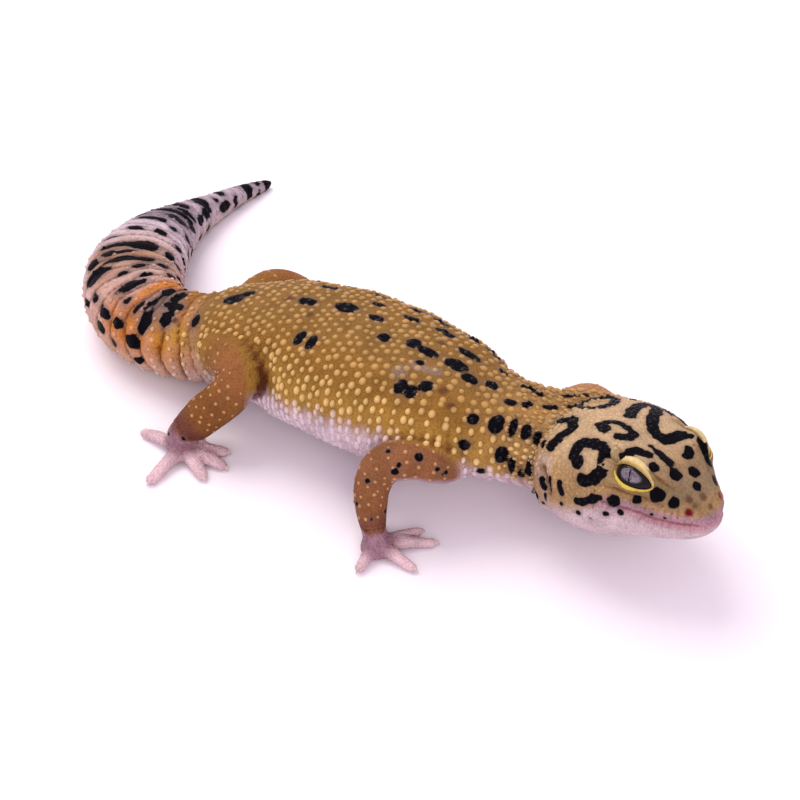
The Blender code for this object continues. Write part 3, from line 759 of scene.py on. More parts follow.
tones = dict(
    back="#966c2f", flank="#b3883e", saddle="#946e37", belly="#dcc4cc", neck="#b98f56", smudge="#a0938f",
    crown="#cbae86", cheek="#b59263", snout="#8e7b5e", lip="#b08a98", jaw="#d8c2c6",
    tailOrange="#dc8932", tailGold="#c58f36", tailPale="#e2cfd5", tailFar="#b4a2b2", tailPink="#e2ab8a",
    tailGrey="#77706c", tailBlue="#5c5564", tailTan="#c0a184", tailDark="#55505c", tailUnder="#dab096",
    thigh="#9b6b34", upperArm="#946240", shank="#86562c", forearm="#925f3c", knee="#a26a3e", elbow="#c89468",
    kneeUnder="#bf9490", wrist="#6e3c40", hand="#a98390", toe="#eccbd0", under="#c0a9b8",
    # crease is painted shade: the dark red that the folds of the groin and armpit are darkened towards
    lidShade="#7d6a34", earRed="#8f3d40", earPale="#dcc3bf", nostrilRed="#a01a3c", crease="#4e1a18",
    # swell is a painted highlight on the tail's swollen folds; the tubercle tones colour the tubercles' tips,
    # their own paler colour and partly a painted highlight
    swell="#d9ac98", mouthPink="#c58e97", tubercle="#d6ac68", tubercleFlank="#eac680",
    tubercleBelly="#e0d0d8", tubercleTail="#d9c3bb", tubercleLimb="#c99a66",
)
tone = {name: paint(code) for name, code in tones.items()}


def layered(out, *layers):  # each layer is a tone and its share, laid over the ones before
    for name, share in layers:
        out = mix(out, tone[name], share)
    return out


def underLip(at):  # height over the line of the mouth, running on behind it
    x, _, z = at["head"].T
    return z - np.interp(x, [-4, 12.6, 16.1, 20.3, 26.3], [5.0, 9.0, 8.9, 7.7, 6.8])


# the seam value carries the painted shade of the line where the lips meet
def seamOf(at):  # 1 on the line between the lips, falling to 0 at 0.9 mm from it
    apart = np.minimum(*(lineDistance(at["head"] * (1, k, 1), skin["mouth"])[0] for k in (1, -1)))
    return np.clip(1 - apart / 0.9, 0, 1)


def bellyShare(at):  # 1 on the white underside; its edge lies higher along the flank
    edge = np.interp(at["s"], [30, 40, 46, 52, 63, 71, 82, 100, 112], [104, 107, 101, 86, 79, 80, 84, 90, 96])
    return rise(abs(at["angle"]) + 2.5 * np.sin(at["s"] * 1.9), edge - 6, edge + 13)


def tailColour(at):
    # Orange and gold folds at the base, a grey patch on top, lavender rings beyond, a dark cloud by the tip;
    # painted highlights on the swollen folds and painted shade in the valleys between rings.
    s, angle, side = at["s"], at["angle"], abs(at["angle"])
    ring = tailRing(s)
    fleck = 0.5 + 0.5 * np.sin(np.radians(angle) * 3 + ring * 2.3) * np.sin(ring * 1.7 + 0.6)
    orange = np.interp(s, [112, 117, 122, 134, 137, 141, 145, 152, 157, 163],
                       [0.3, 0.6, 1, 1, 0.5, 0.2, 0.6, 0.6, 0.3, 0])
    fleck = np.clip(fleck + 0.5 * rise(-s, -138, -132), 0, 1)
    nearMark = bump(spotDistance(at, spots["tail"]) + 0.2, 1.0)
    low = rise(side + 4 * np.sin(ring * pi * 2), 78, 118)
    fold = abs(np.sin(pi * (ring + foldWobble(s, angle))))
    out = layered(tone["tailPale"],
                  ("tailPink", bump(s - 137, 9) * 0.6),
                  ("tailFar", rise(s, 158, 176) * 0.45),
                  ("tailTan", bump(s - 149, 6.5) * (1 - rise(side, 45, 75)) * 0.8),
                  ("tailOrange", orange * fleck * (1 - 0.5 * rise(side, 100, 130))),
                  ("tailGold", bump(s - 121, 6) * bump(side - 55, 34)),
                  ("tailGrey", bump(s - 126.5, 4.6) * bump(angle - 8, 34) * 0.85),
                  ("tailDark", bump(s - 176, 5.5) * bump(angle + 20, 45) * 0.75),
                  ("tailDark", bump(s - 216, 3) * 0.6),
                  ("tailBlue", 0.5 * nearMark * rise(-side, -75, -45)),
                  ("tailUnder", low * (1 - 0.6 * rise(s, 150, 175))),
                  # painted highlight on the swollen lower sides of the folds near the tail's base
                  ("swell", rise(fold, 0.5, 1) * bump(side - 92, 22) * bump(s - 126, 13) * 0.5))
    # painted shade in the valleys between the tail's rings
    depth = np.interp(s, [112, 120, 140, 218], [0, 0.5, 0.35, 0.2])  # how dark the valleys between rings are
    return out * (1 - (1 - rise(fold, 0.05, 0.4)) * depth)[:, None]


def headColour(at):
    # Beige crown, warmer cheek and nose, mauve-pink lips over a nearly white jaw, red ear slits and nostrils.
    x, _, z = at["head"].T
    under = underLip(at)
    out = layered(tone["cheek"],
                  ("crown", rise(z, 11.5, 15.5) * (1 - rise(x, 15, 20))),
                  ("snout", rise(x, 16, 22) * rise(z, 8.5, 12) * 0.8),
                  ("lip", (1 - rise(under, 0.7, 2.2)) * rise(x, 7, 14)),
                  ("jaw", 1 - rise(under, -2.2 - 2.4 * (1 - rise(x, 4, 12)), 0.2)),
                  ("mouthPink", bump(under + 0.5, 0.7) * rise(x, 14, 20) * 0.7))
    for side in (1, -1):
        place, axes = at["head"] * (1, side, 1), lookAxes(side)
        ear, _ = lineDistance(place, skin["ear"])
        near = distance(at["head"], axes[3]) < eye["shadeReach"]
        out = layered(out,
                      ("earPale", bump(ear - 1.6, 1.1) * (x < 1.5) * 0.45),
                      ("earRed", bump(ear, 0.6) * (0.75 + 0.25 * np.sin(3 * z))),
                      ("nostrilRed", 1 - rise(distance(place, skin["nostril"]), 0.4, 1.0)),
                      ("lidShade", near * (1 - rise(almond(at["head"], axes), 1.35, 1.7)) * 0.5))
    return out


def limbColour(at):
    # Brown arms and legs by row from the body out, a dark wrinkled wrist, then a mauve hand and pink toes.
    row, below, hind = at["row"], at["below"], (at["limb"] % 2 == 1).astype(float)
    x, y, z = at["points"].T
    blotch = rise(np.sin(2.6 * x + z) * np.sin(2.9 * y - z), 0.3, 0.7) * bump(row - 6.0, 0.45)
    return layered(mix(layered(tone["upperArm"], ("forearm", rise(row, 3.2, 5))),
                       layered(tone["thigh"], ("shank", rise(row, 2.6, 4.2))), hind),
                   ("knee", bump(row - 3.05, 0.8) * hind),
                   ("elbow", bump(row - 3, 1.6) * (at["limb"] == 2)),
                   ("kneeUnder", bump(row - 2.9, 0.7) * rise(below, 0.0, 0.7) * hind),
                   ("under", rise(below, 0.2, 0.6) * (1 - rise(row, 2.4, 3.2)) * 0.9),
                   ("wrist", bump(row - 5.65, 0.34) * (0.6 + 0.35 * np.sin(row * 44))),
                   ("hand", rise(row, 5.8, 6.3)),
                   ("toe", rise(row, 6.45, 7.1)),
                   ("wrist", 0.65 * blotch))


def groundColour(at):
    s, angle, side = at["s"], np.radians(at["angle"]), abs(at["angle"])
    out = layered(tone["back"],
                  ("saddle", rise(-side, -35, -10)),
                  ("flank", rise(side, 45, 70)),
                  ("neck", bump(s - 40, 8) * 0.8),
                  ("smudge", (1 - rise(spotDistance(at, marks["smudges"]), -0.8, 0.6)) * 0.6),
                  ("belly", bellyShare(at)))
    early = 6 * rise(side, 60, 90)  # mm that the tail's colour starts sooner on its sides
    out = mix(out, tailColour(at), rise(s + 3 * np.sin(angle * 2), 115 - early, 125 - early))
    out = mix(out, headColour(at), rise(at["head"][:, 0] + 1.5 * np.sin(angle * 5), -7.5, -2.5))
    return mix(out, limbColour(at), at["onLimb"])


# materials

def maths(tree, operation, *values):  # one sum on up to three numbers or sockets
    return node(tree, "ShaderNodeMath", dict(enumerate(values)), operation=operation).outputs[0]


def vectors(tree, operation, inputs, socket="Vector"):
    return node(tree, "ShaderNodeVectorMath", inputs, operation=operation).outputs[socket]


def ranged(tree, value, low, high, first=0.0, last=1.0, easing="LINEAR"):  # low..high carried to first..last
    limits = {"Value": value, "From Min": low, "From Max": high, "To Min": first, "To Max": last}
    return node(tree, "ShaderNodeMapRange", limits, interpolation_type=easing).outputs["Result"]


def blended(tree, share, under, over):  # two colours mixed by share
    return node(tree, "ShaderNodeMix", {"Factor": share, 6: under, 7: over}, data_type="RGBA").outputs[2]


def painted(tree, name, socket="Fac"):  # a value that the piece's points carry
    return node(tree, "ShaderNodeAttribute", attribute_name=name).outputs[socket]


def cloud(tree, where, size, detail=2.0):  # soft noise with patches about size metres wide
    inputs = {"Vector": where, "Scale": 1 / size, "Detail": detail}
    return node(tree, "ShaderNodeTexNoise", inputs).outputs["Fac"]


def objectPlace(tree):  # where a point lies on the piece, in metres
    return node(tree, "ShaderNodeTexCoord").outputs["Object"]


def newMaterial(name, values):  # a material, its nodes and its shader, set to values
    made = bpy.data.materials.new(name)
    made.use_nodes = True
    shader = made.node_tree.nodes["Principled BSDF"]
    for label, value in values.items():
        shader.inputs[label].default_value = value
    return made, made.node_tree, shader


def relief(tree, shader, height, strength, depth):  # small relief of depth metres, seen as shading
    bumpy = node(tree, "ShaderNodeBump", {"Height": height, "Strength": strength, "Distance": depth})
    tree.links.new(bumpy.outputs["Normal"], shader.inputs["Normal"])


def scalySkin(name, roughness, granules, shine, raised):
    # Living reptile skin of keratin granules: matt and slightly waxy, so that highlights are broad and soft.
    made, tree, shader = newMaterial(name, {
        "Roughness": roughness, "IOR": 1.45, "Specular IOR Level": shine, "Subsurface Weight": 0.02,
        "Subsurface Radius": (0.9, 0.45, 0.3), "Subsurface Scale": 0.0010})
    where = objectPlace(tree)
    cells = node(tree, "ShaderNodeTexVoronoi", {"Vector": where, "Scale": 1 / 0.0005, "Randomness": 0.85})
    scale = cells.outputs["Distance"]  # 0 at the middle of each granular scale
    shade = ranged(tree, cloud(tree, where, 0.0042, 3.0), 0.3, 0.7, 0.84, 1.14)
    # painted shade in the gaps between granules: the colour darkens towards each granule's edge, by the share
    # that granules gives
    gap = ranged(tree, scale, 0.25, 0.75, 1.04, 1.04 - granules)
    ground = painted(tree, "ground", "Color")
    colour = vectors(tree, "SCALE", {0: ground, "Scale": maths(tree, "MULTIPLY", shade, gap)})
    ragged = maths(tree, "MULTIPLY_ADD", cloud(tree, where, 0.0011), 0.34, -0.17)  # mm
    edge, edgeFaint = (maths(tree, "ADD", painted(tree, label), ragged) for label in ("marks", "faint"))
    soft = "SMOOTHSTEP"
    inside = ranged(tree, edge, 0.14, -0.12, easing=soft)
    halo = ranged(tree, edge, 0.8, 0.0, last=0.35, easing=soft)
    insideFaint = ranged(tree, edgeFaint, 0.3, -0.5, last=0.72, easing=soft)
    # painted shade along the seam between the lips: a dark line where the lips meet
    mouth = ranged(tree, painted(tree, "seam"), 0.74, 0.88, last=0.9, easing=soft)
    for share, code in ((insideFaint, "#4d2a26"), (mouth, "#5a2c36"), (halo, "#6d5a52"), (inside, "#050409")):
        colour = blended(tree, share, colour, rgba(code))
    tree.links.new(colour, shader.inputs["Base Color"])
    relief(tree, shader, maths(tree, "MULTIPLY", scale, -1.0), raised, 0.00032)
    return made


skinMaterial = scalySkin("granularSkin", 0.5, 0.24, 0.045, 0.7)
tubercleMaterial = scalySkin("keratinTubercles", 0.27, 0.06, 0.13, 0.1)
print("materials ready")

skinPiece = makeSkin(skinMaterial)
skinMesh = skinPiece.data
skinPoints, skinEnds = meshArrays(skinMesh)
skinTree = BVHTree.FromObject(skinPiece, bpy.context.evaluated_depsgraph_get())
flesh = [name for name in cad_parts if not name.startswith("eye_")]
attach(skinPiece, "root")
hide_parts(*flesh)
print("skin:", len(skinMesh.vertices), "vertices,", triangles(skinMesh), "triangles")


def onSkin(points):
    # Nearest place on the skin and the normal there, with how far it was.
    found = [skinTree.find_nearest(Vector(p)) for p in ((np.asarray(points) - middle) * mm)]
    place = np.array([f[0] for f in found]) / mm + middle
    return place, np.array([f[1] for f in found]), np.array([f[3] for f in found]) / mm


def strokeLine(line):  # a smooth stroke laid on the skin, as close points
    rows = fromHead(line)
    if len(rows) > 1:
        rows = spline(rows, np.linspace(0, len(rows) - 1, 10 * len(rows)))
    return onSkin(rows)[0]


strokeLines = [(radius, strokeLine(line)) for radius, *line in marks["strokes"]]
strokeLines += [(radius, strokeLine([place])) for *place, radius in marks["dots"]]
spots = {part: [(s, turned, long * grown, wide * grown) for s, turned, long, wide in marks[part]]
         for part, grown in marks["grown"].items()}
for part in ("trunk", "tail"):
    spots[part] += chanceSpots(*marks["chance"][part], spots[part])
spots["faint"] = list(marks["faint"]) + chanceSpots(*marks["chance"]["faint"], spots["trunk"])
spots["brown"] = [(strokeLine([place])[0], radius) for *place, radius in marks["brown"]]
limbSpots = [(place, radius) for *place, radius in marks["limb"]]
for name in ("left_fore", "left_hind"):  # nine small spots by chance on each left limb, mostly above
    line = limbPaths[name]
    for row in rng.uniform(1.2, 5.6, 9):
        centre = line[int(row / limbs["last"] * (limbs["steps"] - 1))]
        out = unit(rng.normal(size=3) + (0, 0, 0.7))
        limbSpots.append((centre[:3] + out * centre[3], rng.uniform(0.35, 0.7)))
spots["limb"] = [(onSkin([place])[0][0], radius) for place, radius in limbSpots]

at = locate(skinPoints)
dark, faint = markFields(at)
hollow = hollowOf(skinMesh, skinPoints, skinEnds)
# painted shade: darker, and redder, where the skin bends into hollows and creases
ground = groundColour(at) * (1 - hollow[:, None] * (0.42, 0.56, 0.62))  # redder as well as darker
# the painted shade deepens to a dark red in the groin and armpit creases
near = sum(bump(distance(skinPoints, place), 5.5) for place in skin["shadedCreases"])
setValues(skinMesh, "ground", mix(ground, tone["crease"], np.clip(1.2 * hollow * near, 0, 0.8)))
setValues(skinMesh, "seam", seamOf(at))
setValues(skinMesh, "marks", dark)
setValues(skinMesh, "faint", faint)
print("markings painted")


# coat of tubercles

coat = dict(
    trunkGap=(1.9, 2.0), neckGap=(1.4, 1.5), tailGap=2.2, limbGap=(2.1, 2.2), headGap=(1.05, 1.1),
    # radius, then height, in mm
    trunk=(0.86, 0.50), neck=(0.62, 0.60), tail=(0.56, 0.46), limb=(0.46, 0.30), head=(0.50, 0.22),
    vary=(0.78, 1.2), stray=0.24,  # range of a dome's growth; mm that it strays from its row
    sides=8, sunk=0.1,  # mm that a dome's foot lies in the skin
    # at the three rings of a dome and at its tip: share of the height, of the radius, of the pale
    # colour (the tubercle's own paler colour, partly a painted highlight at the tip), and of the light that
    # reaches it (painted shade at the foot)
    rise=(0.0, 0.42, 0.86, 1.0), wide=(1.0, 0.80, 0.45),
    pale=(0.0, 0.3, 0.8, 1.0), shade=(0.62, 0.96, 1.0, 1.0),
    patch=0.0015,  # a dome's size on the unwrap, which is 1 across
)


def lattice(sections, stops, gapAround, limit):
    # Places in staggered rows on a tube: a row at each stop along it, even steps round each row from the top.
    centre = sections.mean(1)
    run = np.r_[0, np.cumsum(np.linalg.norm(np.diff(centre, axis=0), axis=1))]
    out = []
    for number, stop in enumerate(stops):
        k = min(np.searchsorted(run, stop), len(run) - 1)
        ring = np.vstack([sections[k], sections[k][:1]])
        arc = np.r_[0, np.cumsum(np.linalg.norm(np.diff(ring, axis=0), axis=1))]
        count = max(4, int(round(arc[-1] / gapAround)))
        share = (np.arange(count) + 0.5 * (number % 2)) / count % 1
        share = share[np.minimum(share, 1 - share) * 360 < limit]
        if len(share):
            out.append(np.stack([np.interp(share * arc[-1], arc, ring[:, j]) for j in range(3)], -1))
    return np.vstack(out)


def perDome(values):  # one value per ring and one for the tip, for every point of a dome
    return np.r_[np.repeat(values[:3], coat["sides"]), values[3]]


def domes(name, at, normals, size, tall, lean, pale, slot):
    # Joined domes: rings of radius size*wide and height tall*rise on each root, closed by a tip and a base.
    roots, normals = at["points"], unit(normals)
    count, sides = len(roots), coat["sides"]
    each = 3 * sides + 1
    across = spineAxis(at)
    first = unit(across - normals * (across * normals).sum(1)[:, None])
    second = np.cross(normals, first)
    angle, wide = turns(sides), np.array(coat["wide"])[:, None]
    flat = np.vstack([np.stack([wide * np.cos(angle), wide * np.sin(angle)], -1).reshape(-1, 2), (0, 0)])
    points = (roots[:, None] + first[:, None] * (size[:, :1, None] * flat[None, :, :1])
              + second[:, None] * (size[:, 1:, None] * flat[None, :, 1:])
              + (normals + first * lean)[:, None] * (tall[:, None] * perDome(coat["rise"]))[..., None]
              - normals[:, None] * coat["sunk"])
    k = np.arange(sides)
    later = (k + 1) % sides
    quad = np.stack([k, later, sides + later, sides + k], -1)
    quads = np.vstack([quad, quad + sides])
    tips = np.stack([2 * sides + k, 2 * sides + later, np.full(sides, 3 * sides)], -1)
    start = np.arange(count)[:, None, None] * each
    faces = (quads + start).reshape(-1, 4).tolist() + (tips + start).reshape(-1, 3).tolist()
    faces += (k[::-1][None] + start[:, 0]).tolist()
    points = points.reshape(-1, 3)
    mesh = piece(name, points, faces, tubercleMaterial, slot).data
    # pale towards the tip, in part a painted highlight, and darker at the foot by painted shade
    share, shade = (np.tile(perDome(coat[part]), count) for part in ("pale", "shade"))
    colour = mix(np.repeat(groundColour(at), each, 0), np.repeat(pale, each, 0), share)
    dark, faint = markFields(locate(points))
    for label, values in (("ground", colour * shade[:, None]), ("marks", dark), ("faint", faint)):
        setValues(mesh, label, values)
    setMap(mesh, "OFBake", np.tile(flat * coat["patch"], (count, 1)) + np.repeat(unwrapOf(at), each, 0))
    print(name + ":", count, "tubercles,", triangles(mesh), "triangles")


def unwrapOf(at):
    # Where a root lies on an unwrap laid out by body coordinates: body in the lower part, each limb in a
    # strip above it.
    u = 0.02 + 0.96 * at["s"] / bodyLength
    v = 0.02 + 0.50 * (at["angle"] + 180) / 360
    local = np.degrees(np.arctan2(at["points"][:, 1], at["points"][:, 2]))
    limbU = 0.02 + 0.94 * at["row"] / 8
    limbV = 0.55 + 0.1 * at["limb"] + 0.045 * (local % 90) / 45
    onLimb = at["onLimb"] > 0.5
    return np.stack([np.where(onLimb, limbU, u), np.where(onLimb, limbV, v)], -1)


def spineAxis(at):  # direction along the spine at each root
    k = np.clip(np.searchsorted(path["s"], at["s"]), 1, len(path["s"]) - 1)
    return unit(path["centre"][k] - path["centre"][k - 1])


def clearOfEyes(at):
    return np.all([distance(at["head"], lookAxes(side)[3]) > eye["bare"] for side in (1, -1)], axis=0)


def coatOver(name, roots, shape, paleOf, slot, keep, grow, lean=0.0):
    # Roots are moved to the skin, sorted out by keep, and given a dome each, which leans along the spine by
    # lean; grow holds the growth in width along the spine, in width round it and in height.
    place, normals, apart = onSkin(roots + rng.normal(size=roots.shape) * coat["stray"])
    good = keep(locate(place), apart)
    at = locate(place[good])
    radius, tall = (value * rng.uniform(*coat["vary"], len(at["s"])) for value in shape)
    along, around, high = grow(at)
    domes(name, at, normals[good], np.stack([radius * along, radius * around], -1), tall * high, lean,
          paleOf(at), slot)


bodyForm = bodySections(180)
rings = np.interp(np.arange(0.5, tailRing(bodyLength - 6), 1), tailRing(path["s"]), path["s"])


def bodyRoots(low, high, gaps, limit):  # from low to high mm from the snout, up to limit degrees round
    return lattice(bodyForm, np.arange(low, high, gaps[0]), gaps[1], limit)


trunkRoots = bodyRoots(45, 115, coat["trunkGap"], 126)
neckRoots = bodyRoots(31, 45, coat["neckGap"], 112)
headRoots = bodyRoots(10, 33, coat["headGap"], 88)
tailRoots = lattice(bodyForm, rings[rings > 115], coat["tailGap"], 140)  # one row on each ring
limbRoots = np.vstack([
    lattice(limbSections(rows, 36, limbs["coat"], limbs["steps"]), np.arange(3, 34, coat["limbGap"][0]),
            coat["limbGap"][1], 150)
    for rows in limbs["rows"].values()])


# The tip colour is the tubercles' own paler colour, and in part a painted highlight.
def bodyPale(at):  # tip colour on the body: yellow, white low down, pink on the tail
    side = abs(at["angle"])
    ground = groundColour(at)
    pale = mix(tone["tubercle"], tone["tubercleFlank"], rise(side, 35, 65))
    pale = layered(pale, ("tubercleBelly", bellyShare(dict(at, angle=side + 6))))
    pale = mix(ground, pale, 0.6 + 0.4 * rise(side, 20, 55))
    behindEar = bump(at["head"][:, 0] + 2.5, 3) * rise(side, 45, 80)
    pale = layered(pale, ("tubercleBelly", 0.7 * behindEar))
    return mix(pale, layered(ground, ("tubercleTail", 0.35)), rise(at["s"], 118, 130))


def trunkGrow(at):  # taller and wider round the body on the flank, lower under it
    low, side = bellyShare(at), abs(at["angle"])
    flank = rise(side, 30, 62)
    size = 0.98 - 0.2 * rise(side, 95, 120)
    return (size * (1 - 0.14 * flank - 0.14 * low), size * (1 + 0.12 * flank + 0.35 * low),
            0.85 + 0.25 * flank - 0.35 * low - 0.2 * rise(side, 90, 120))


def headGrow(at):  # larger towards the nape, and taller there
    wide, high = (np.interp(at["head"][:, 0], [-6, 4, 14, 20], [nape, 0.9, 0.7, 0.6]) for nape in (1.25, 1.8))
    return wide, wide, high


def onTrunk(at, apart):
    return (at["onLimb"] < 0.35) & (apart < 1.2)


knee = limbs["rows"]["right_hind"][3][:3]  # no tubercles of the trunk within 6.2 mm of it
coatOver("tubercles_trunk", trunkRoots, coat["trunk"], bodyPale, "trunk",
         lambda at, apart: onTrunk(at, apart) & (distance(at["points"], knee) > 6.2), trunkGrow, 0.1)
coatOver("tubercles_neck", neckRoots, coat["neck"], bodyPale, "trunk",
         lambda at, apart: onTrunk(at, apart) & (abs(at["angle"]) < 108),
         lambda at: (1.15, 0.85, 1.0), 0.55)
coatOver("tubercles_tail", tailRoots, coat["tail"], bodyPale, "tail",
         lambda at, apart: ((at["onLimb"] < 0.3) & (apart < 1.6) & (at["high"] > 1.5)
                            & (rng.uniform(size=len(apart)) < 0.7)),
         lambda at: (np.interp(at["s"], [112, 218], [1.2, 0.5]),) * 3)
coatOver("tubercles_head", headRoots, coat["head"],
         lambda at: layered(groundColour(at), ("tubercle", 0.3)), "head",
         lambda at, apart: ((apart < 0.9) & clearOfEyes(at) & (at["head"][:, 2] > 8)
                            & (at["onLimb"] < 0.2)), headGrow)
coatOver("tubercles_limbs", limbRoots, coat["limb"],
         lambda at: np.tile(tone["tubercleLimb"], (len(at["s"]), 1)), "leg",
         lambda at, apart: ((apart < 1.0) & (at["onLimb"] > 0.55) & (at["row"] < 5.6) & (at["below"] < 0.45)
                            & (bump(at["row"] - 2.8, 0.5) * (at["limb"] % 2) < 0.5)),
         lambda at: (1, 1, 1))


# eyes and lids

def makeEye(name, side, material, rows=60, columns=72):
    # Ball in polar form about the line of sight: turn by phi from the front, then psi round it.
    fore, up, look, centre = lookAxes(side)
    phi, psi = np.linspace(0.02, pi - 0.02, rows)[:, None], turns(columns)
    swell = 1 + 0.04 * bump(phi, 0.6)  # the cornea stands a little proud
    radius = (eye["radius"] - 0.12) * swell
    way = (np.cos(phi)[..., None] * look + (np.sin(phi) * np.cos(psi))[..., None] * fore
           + (np.sin(phi) * np.sin(psi))[..., None] * up)
    points = fromHead((centre + way * radius[..., None]).reshape(-1, 3))
    made = piece(name, points, closedTube(points.reshape(rows, columns, 3)), material, "eye")
    faceOutwards(made.data)
    spread = np.stack([phi * np.cos(psi), phi * np.sin(psi)], -1).reshape(-1, 2) / eye["mapSpan"] + 0.5
    setMap(made.data, "irisMap", spread)
    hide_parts(name)


def irisMaterial():
    # Wet cornea over a silver iris marbled with dark veins: dark and glassy, with one bright point.
    made, tree, shader = newMaterial("wetEye", {
        "Roughness": 0.3, "IOR": 1.38, "Specular IOR Level": 0.12, "Coat Weight": 0.4, "Coat Roughness": 0.03,
        "Coat IOR": 1.4})
    uv = node(tree, "ShaderNodeUVMap", uv_map="irisMap").outputs["UV"]
    centred = vectors(tree, "ADD", {0: uv, 1: (-0.5, -0.5, 0)})
    place = vectors(tree, "SCALE", {0: centred, "Scale": eye["mapSpan"] * eye["radius"]})  # mm over the ball
    parts = node(tree, "ShaderNodeSeparateXYZ", {0: place})
    x, y = parts.outputs["X"], parts.outputs["Y"]
    veins = node(tree, "ShaderNodeTexNoise", {"Vector": place, "Scale": 2.3, "Detail": 6.0, "Roughness": 0.7,
                                              "Distortion": 1.6}).outputs["Fac"]
    iris = node(tree, "ShaderNodeValToRGB", {"Fac": veins})
    for stop, position, code in zip(iris.color_ramp.elements, (0.38, 0.66), ("#2a2028", "#a89ca8")):
        stop.position, stop.color = position, (*paint(code), 1)
    # the pupil is a leaning slit with wavy sides, cut off above and below
    wave = maths(tree, "SINE", maths(tree, "MULTIPLY", y, 5.2))
    width = maths(tree, "MULTIPLY_ADD", wave, 0.045, 0.13)
    off = maths(tree, "ABSOLUTE", maths(tree, "MULTIPLY_ADD", y, 0.36, x))
    slit = ranged(tree, maths(tree, "SUBTRACT", off, width), 0.05, -0.03)
    short = ranged(tree, maths(tree, "ABSOLUTE", y), 1.75, 1.5)
    # the dark rim is an oval 1.9 times as long as it is high
    squeezed = vectors(tree, "MULTIPLY", {0: place, 1: (1 / 1.9, 1, 1)})
    rim = ranged(tree, vectors(tree, "LENGTH", {0: squeezed}, "Value"), 0.92, 1.2)
    black = maths(tree, "MAXIMUM", maths(tree, "MULTIPLY", slit, short), rim)
    tree.links.new(blended(tree, black, iris.outputs["Color"], rgba("#08070a")), shader.inputs["Base Color"])
    return made


eyeMaterial = irisMaterial()
for side, word in ((1, "left"), (-1, "right")):
    makeEye(f"eye_{word}", side, eyeMaterial)

lids = dict(
    upper=0.92, lower=0.54, corner=0.34,  # half thickness above, below and at the corners, in mm
    rideOut=0.16, sides=14, steps=120,  # mm that the lid's middle stands off the ball
    top="#e2cc8e", topInner="#b99a50", low="#dcc04a", outer="#7d6532",
)


def lidMaterial():
    # Thin hairless lid edge: pale, faintly creased and a little moist, so softer in light than the skin.
    made, tree, shader = newMaterial("lidEdge", {
        "Base Color": rgba("#cdb88a"), "Roughness": 0.45, "Specular IOR Level": 0.35,
        "Subsurface Weight": 0.08, "Subsurface Scale": 0.0008})
    where = objectPlace(tree)
    shade = ranged(tree, cloud(tree, where, 0.0007, 3.0), 0.3, 0.7, 0.82, 1.12)
    toned = vectors(tree, "SCALE", {0: painted(tree, "ground", "Color"), "Scale": shade})
    tree.links.new(toned, shader.inputs["Base Color"])
    cells = node(tree, "ShaderNodeTexVoronoi", {"Vector": where, "Scale": 1 / 0.00045})
    relief(tree, shader, cells.outputs["Distance"], 0.5, 0.0001)
    return made


def makeLid(name, side, material):
    # A ring round the almond edge of the opening; fatter above than below, thin towards the front corner.
    fore, up, look, centre = lookAxes(side)
    steps, sides, power = lids["steps"], lids["sides"], 2 / eye["power"]
    psi = turns(steps)
    c, s = np.cos(psi), np.sin(psi)
    a, b = eye["opening"]
    u, v = a * np.sign(c) * abs(c) ** power, b * np.sign(s) * abs(s) ** power
    bend = np.hypot(u, v) / eye["radius"]  # angle from the line of sight
    way = (np.cos(bend)[:, None] * look
           + (np.sin(bend) / bend)[:, None] * (u[:, None] * fore + v[:, None] * up) / eye["radius"])
    thick = lids["corner"] + (np.where(s > 0, lids["upper"], lids["lower"]) - lids["corner"]) * abs(s) ** 0.7
    thick = thick * (1 - 0.42 * rise(c, 0.1, 0.9))
    line = centre + way * (eye["radius"] + lids["rideOut"])
    along = unit(np.roll(line, -1, 0) - np.roll(line, 1, 0))
    outward = unit(np.cross(along, way))
    outward = outward * np.sign((outward * (line - line.mean(0))).sum(1))[:, None]
    line = line + outward * (thick * 0.55)[:, None]
    ring = turns(sides)
    ripple = 1 + 0.05 * np.sin(psi * 26)  # low scales along the edge
    points = (line[:, None] + way[:, None] * (0.62 * (thick * ripple)[:, None] * np.cos(ring))[..., None]
              + outward[:, None] * (thick[:, None] * np.sin(ring))[..., None])
    r, k = np.meshgrid(np.arange(steps), np.arange(sides), indexing="ij")
    nextR, nextK = (r + 1) % steps, (k + 1) % sides
    faces = np.stack([r * sides + k, r * sides + nextK, nextR * sides + nextK, nextR * sides + k], -1)
    mesh = piece(name, fromHead(points.reshape(-1, 3)), faces.reshape(-1, 4).tolist(), material, "head").data
    upper = np.repeat(rise(s, -0.25, 0.35), sides)
    edge = np.tile(np.sin(ring), steps)  # 1 at the outer side, -1 at the eye
    low, topInner, top, outer = (paint(lids[part]) for part in ("low", "topInner", "top", "outer"))
    colour = mix(low, mix(topInner, top, rise(edge, -0.8, -0.2)), upper)
    setValues(mesh, "ground", mix(colour, outer, rise(edge, 0.72, 1.0) * 0.7))
    faceOutwards(mesh)


lidSkin = lidMaterial()
for side, word in ((1, "left"), (-1, "right")):
    makeLid(f"lid_{word}", side, lidSkin)
print("eyes and lids set")


# claws

# share of the toe's length, height, radius; and the share left of the radius in the last fifth
claw = dict(steps=((0.90, 1.15, 0.38), (0.97, 1.1, 0.36), (1.02, 0.8, 0.24), (1.05, 0.4, 0.08)), point=0.6)


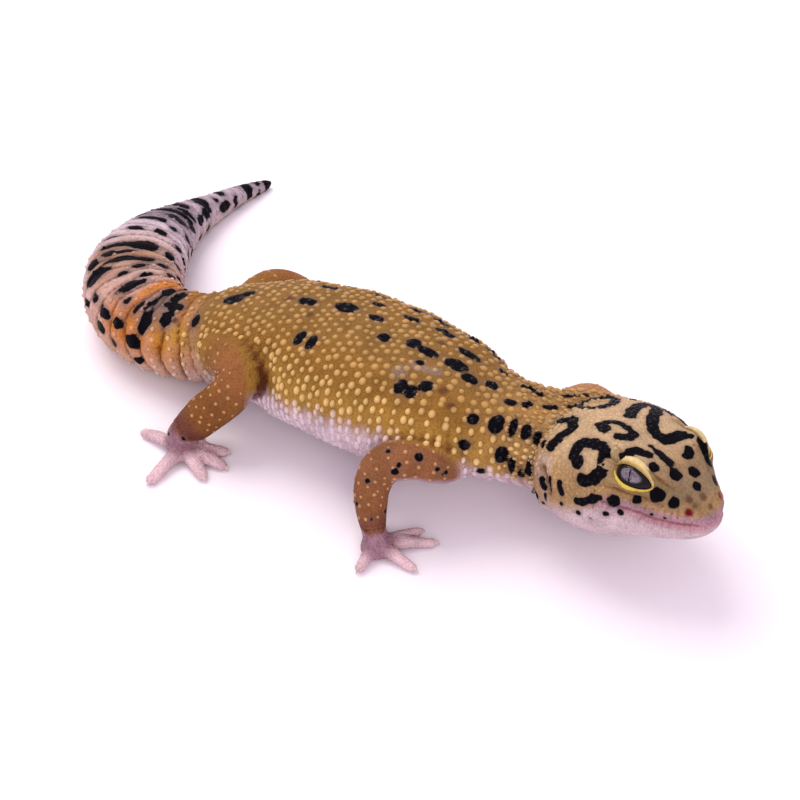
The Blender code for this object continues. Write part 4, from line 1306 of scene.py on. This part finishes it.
def makeClaws(count=9):
    # Each claw is a cone whose axis curves down, from the toe's end to a blunt point. Horn is smooth and
    # slightly clear, so it shines more sharply than the skin.
    material, tree, shader = newMaterial("hornClaw", {"Base Color": rgba("#d8bfb6"), "Roughness": 0.35})
    ramp = node(tree, "ShaderNodeValToRGB", {"Fac": cloud(tree, objectPlace(tree), 0.0008)})
    for stop, code in zip(ramp.color_ramp.elements, ("#8d6a63", "#ecdcd6")):
        stop.color = rgba(code)
    tree.links.new(ramp.outputs["Color"], shader.inputs["Base Color"])
    points, faces, start = [], [], 0
    for palm, *tips in limbs["toes"].values():
        for tip in tips:
            tube = limbSections(alongToe(palm, tip, claw["steps"]), 10, 0.0, count)
            centre = tube.mean(1, keepdims=True)
            share = np.linspace(0, 1, count)[:, None, None]
            tube = centre + (tube - centre) * np.where(share > 0.8, claw["point"], 1.0)
            points.append(tube.reshape(-1, 3))
            faces += closedTube(tube, start)
            start += len(points[-1])
    faceOutwards(piece("claws", np.vstack(points), faces, material, "foot").data)


makeClaws()
print("claws set")


# floor, light and camera

stage = dict(
    target=(11.85, -16.96, 12.8), distance=300.0, azimuth=33.0, elevation=38.0,  # mm and degrees
    lens=68.04, sensor=36, clip=(0.01, 20),  # mm, and m
    floor="#f4f1f5", sky="#eadcee", skyStrength=1.02,
    # place in m, size across in m, power in W and colour
    lamps=dict(key=((-0.42, 0.16, 0.72), 0.7, 4.6, "#fffdf2"),
               fill=((0.62, -0.80, 0.60), 0.8, 4.6, "#fff6ee")),
    lit=(0, 0, 0.01), floorHalf=4,  # m: where the lamps point, and half the floor's width
)
# matt paper: it takes soft shadows and gives back no highlight
floorMaterial = newMaterial("paperFloor", {"Base Color": rgba(stage["floor"]), "Roughness": 0.8})[0]
floorMesh = bpy.data.meshes.new("floor")
half = stage["floorHalf"]
corners = [(-half, -half, 0), (half, -half, 0), (half, half, 0), (-half, half, 0)]
floorMesh.from_pydata(corners, [], [(0, 1, 2, 3)])
floorMesh.materials.append(floorMaterial)
floor = placed("floor", floorMesh)

world = bpy.data.worlds.new("studio")
bpy.context.scene.world = world
world.use_nodes = True
sky = world.node_tree.nodes["Background"]
sky.inputs["Color"].default_value = rgba(stage["sky"])
sky.inputs["Strength"].default_value = stage["skyStrength"]


def aim(made, place, away):  # put a lamp or the camera at place, looking against away
    made.location = place
    made.rotation_mode = "QUATERNION"
    made.rotation_quaternion = (-away).to_track_quat("-Z", "Y")


for name, (place, size, power, code) in stage["lamps"].items():
    lamp = bpy.data.lights.new(name, "AREA")
    lamp.shape, lamp.size, lamp.energy, lamp.color = "DISK", size, power, toLinear(code)
    aim(placed(name, lamp), place, Vector(place) - Vector(stage["lit"]))

lens = bpy.data.cameras.new("camera")
lens.lens, lens.sensor_width, (lens.clip_start, lens.clip_end) = stage["lens"], stage["sensor"], stage["clip"]
camera = placed("camera", lens)
azimuth, elevation = radians(stage["azimuth"]), radians(stage["elevation"])
back = Vector((np.sin(azimuth) * np.cos(elevation), -np.cos(azimuth) * np.cos(elevation), np.sin(elevation)))
aim(camera, Vector(stage["target"]) * mm + back * stage["distance"] * mm, back)
bpy.context.scene.camera = camera
bpy.context.scene.view_settings.view_transform = "Standard"
print("stage set")
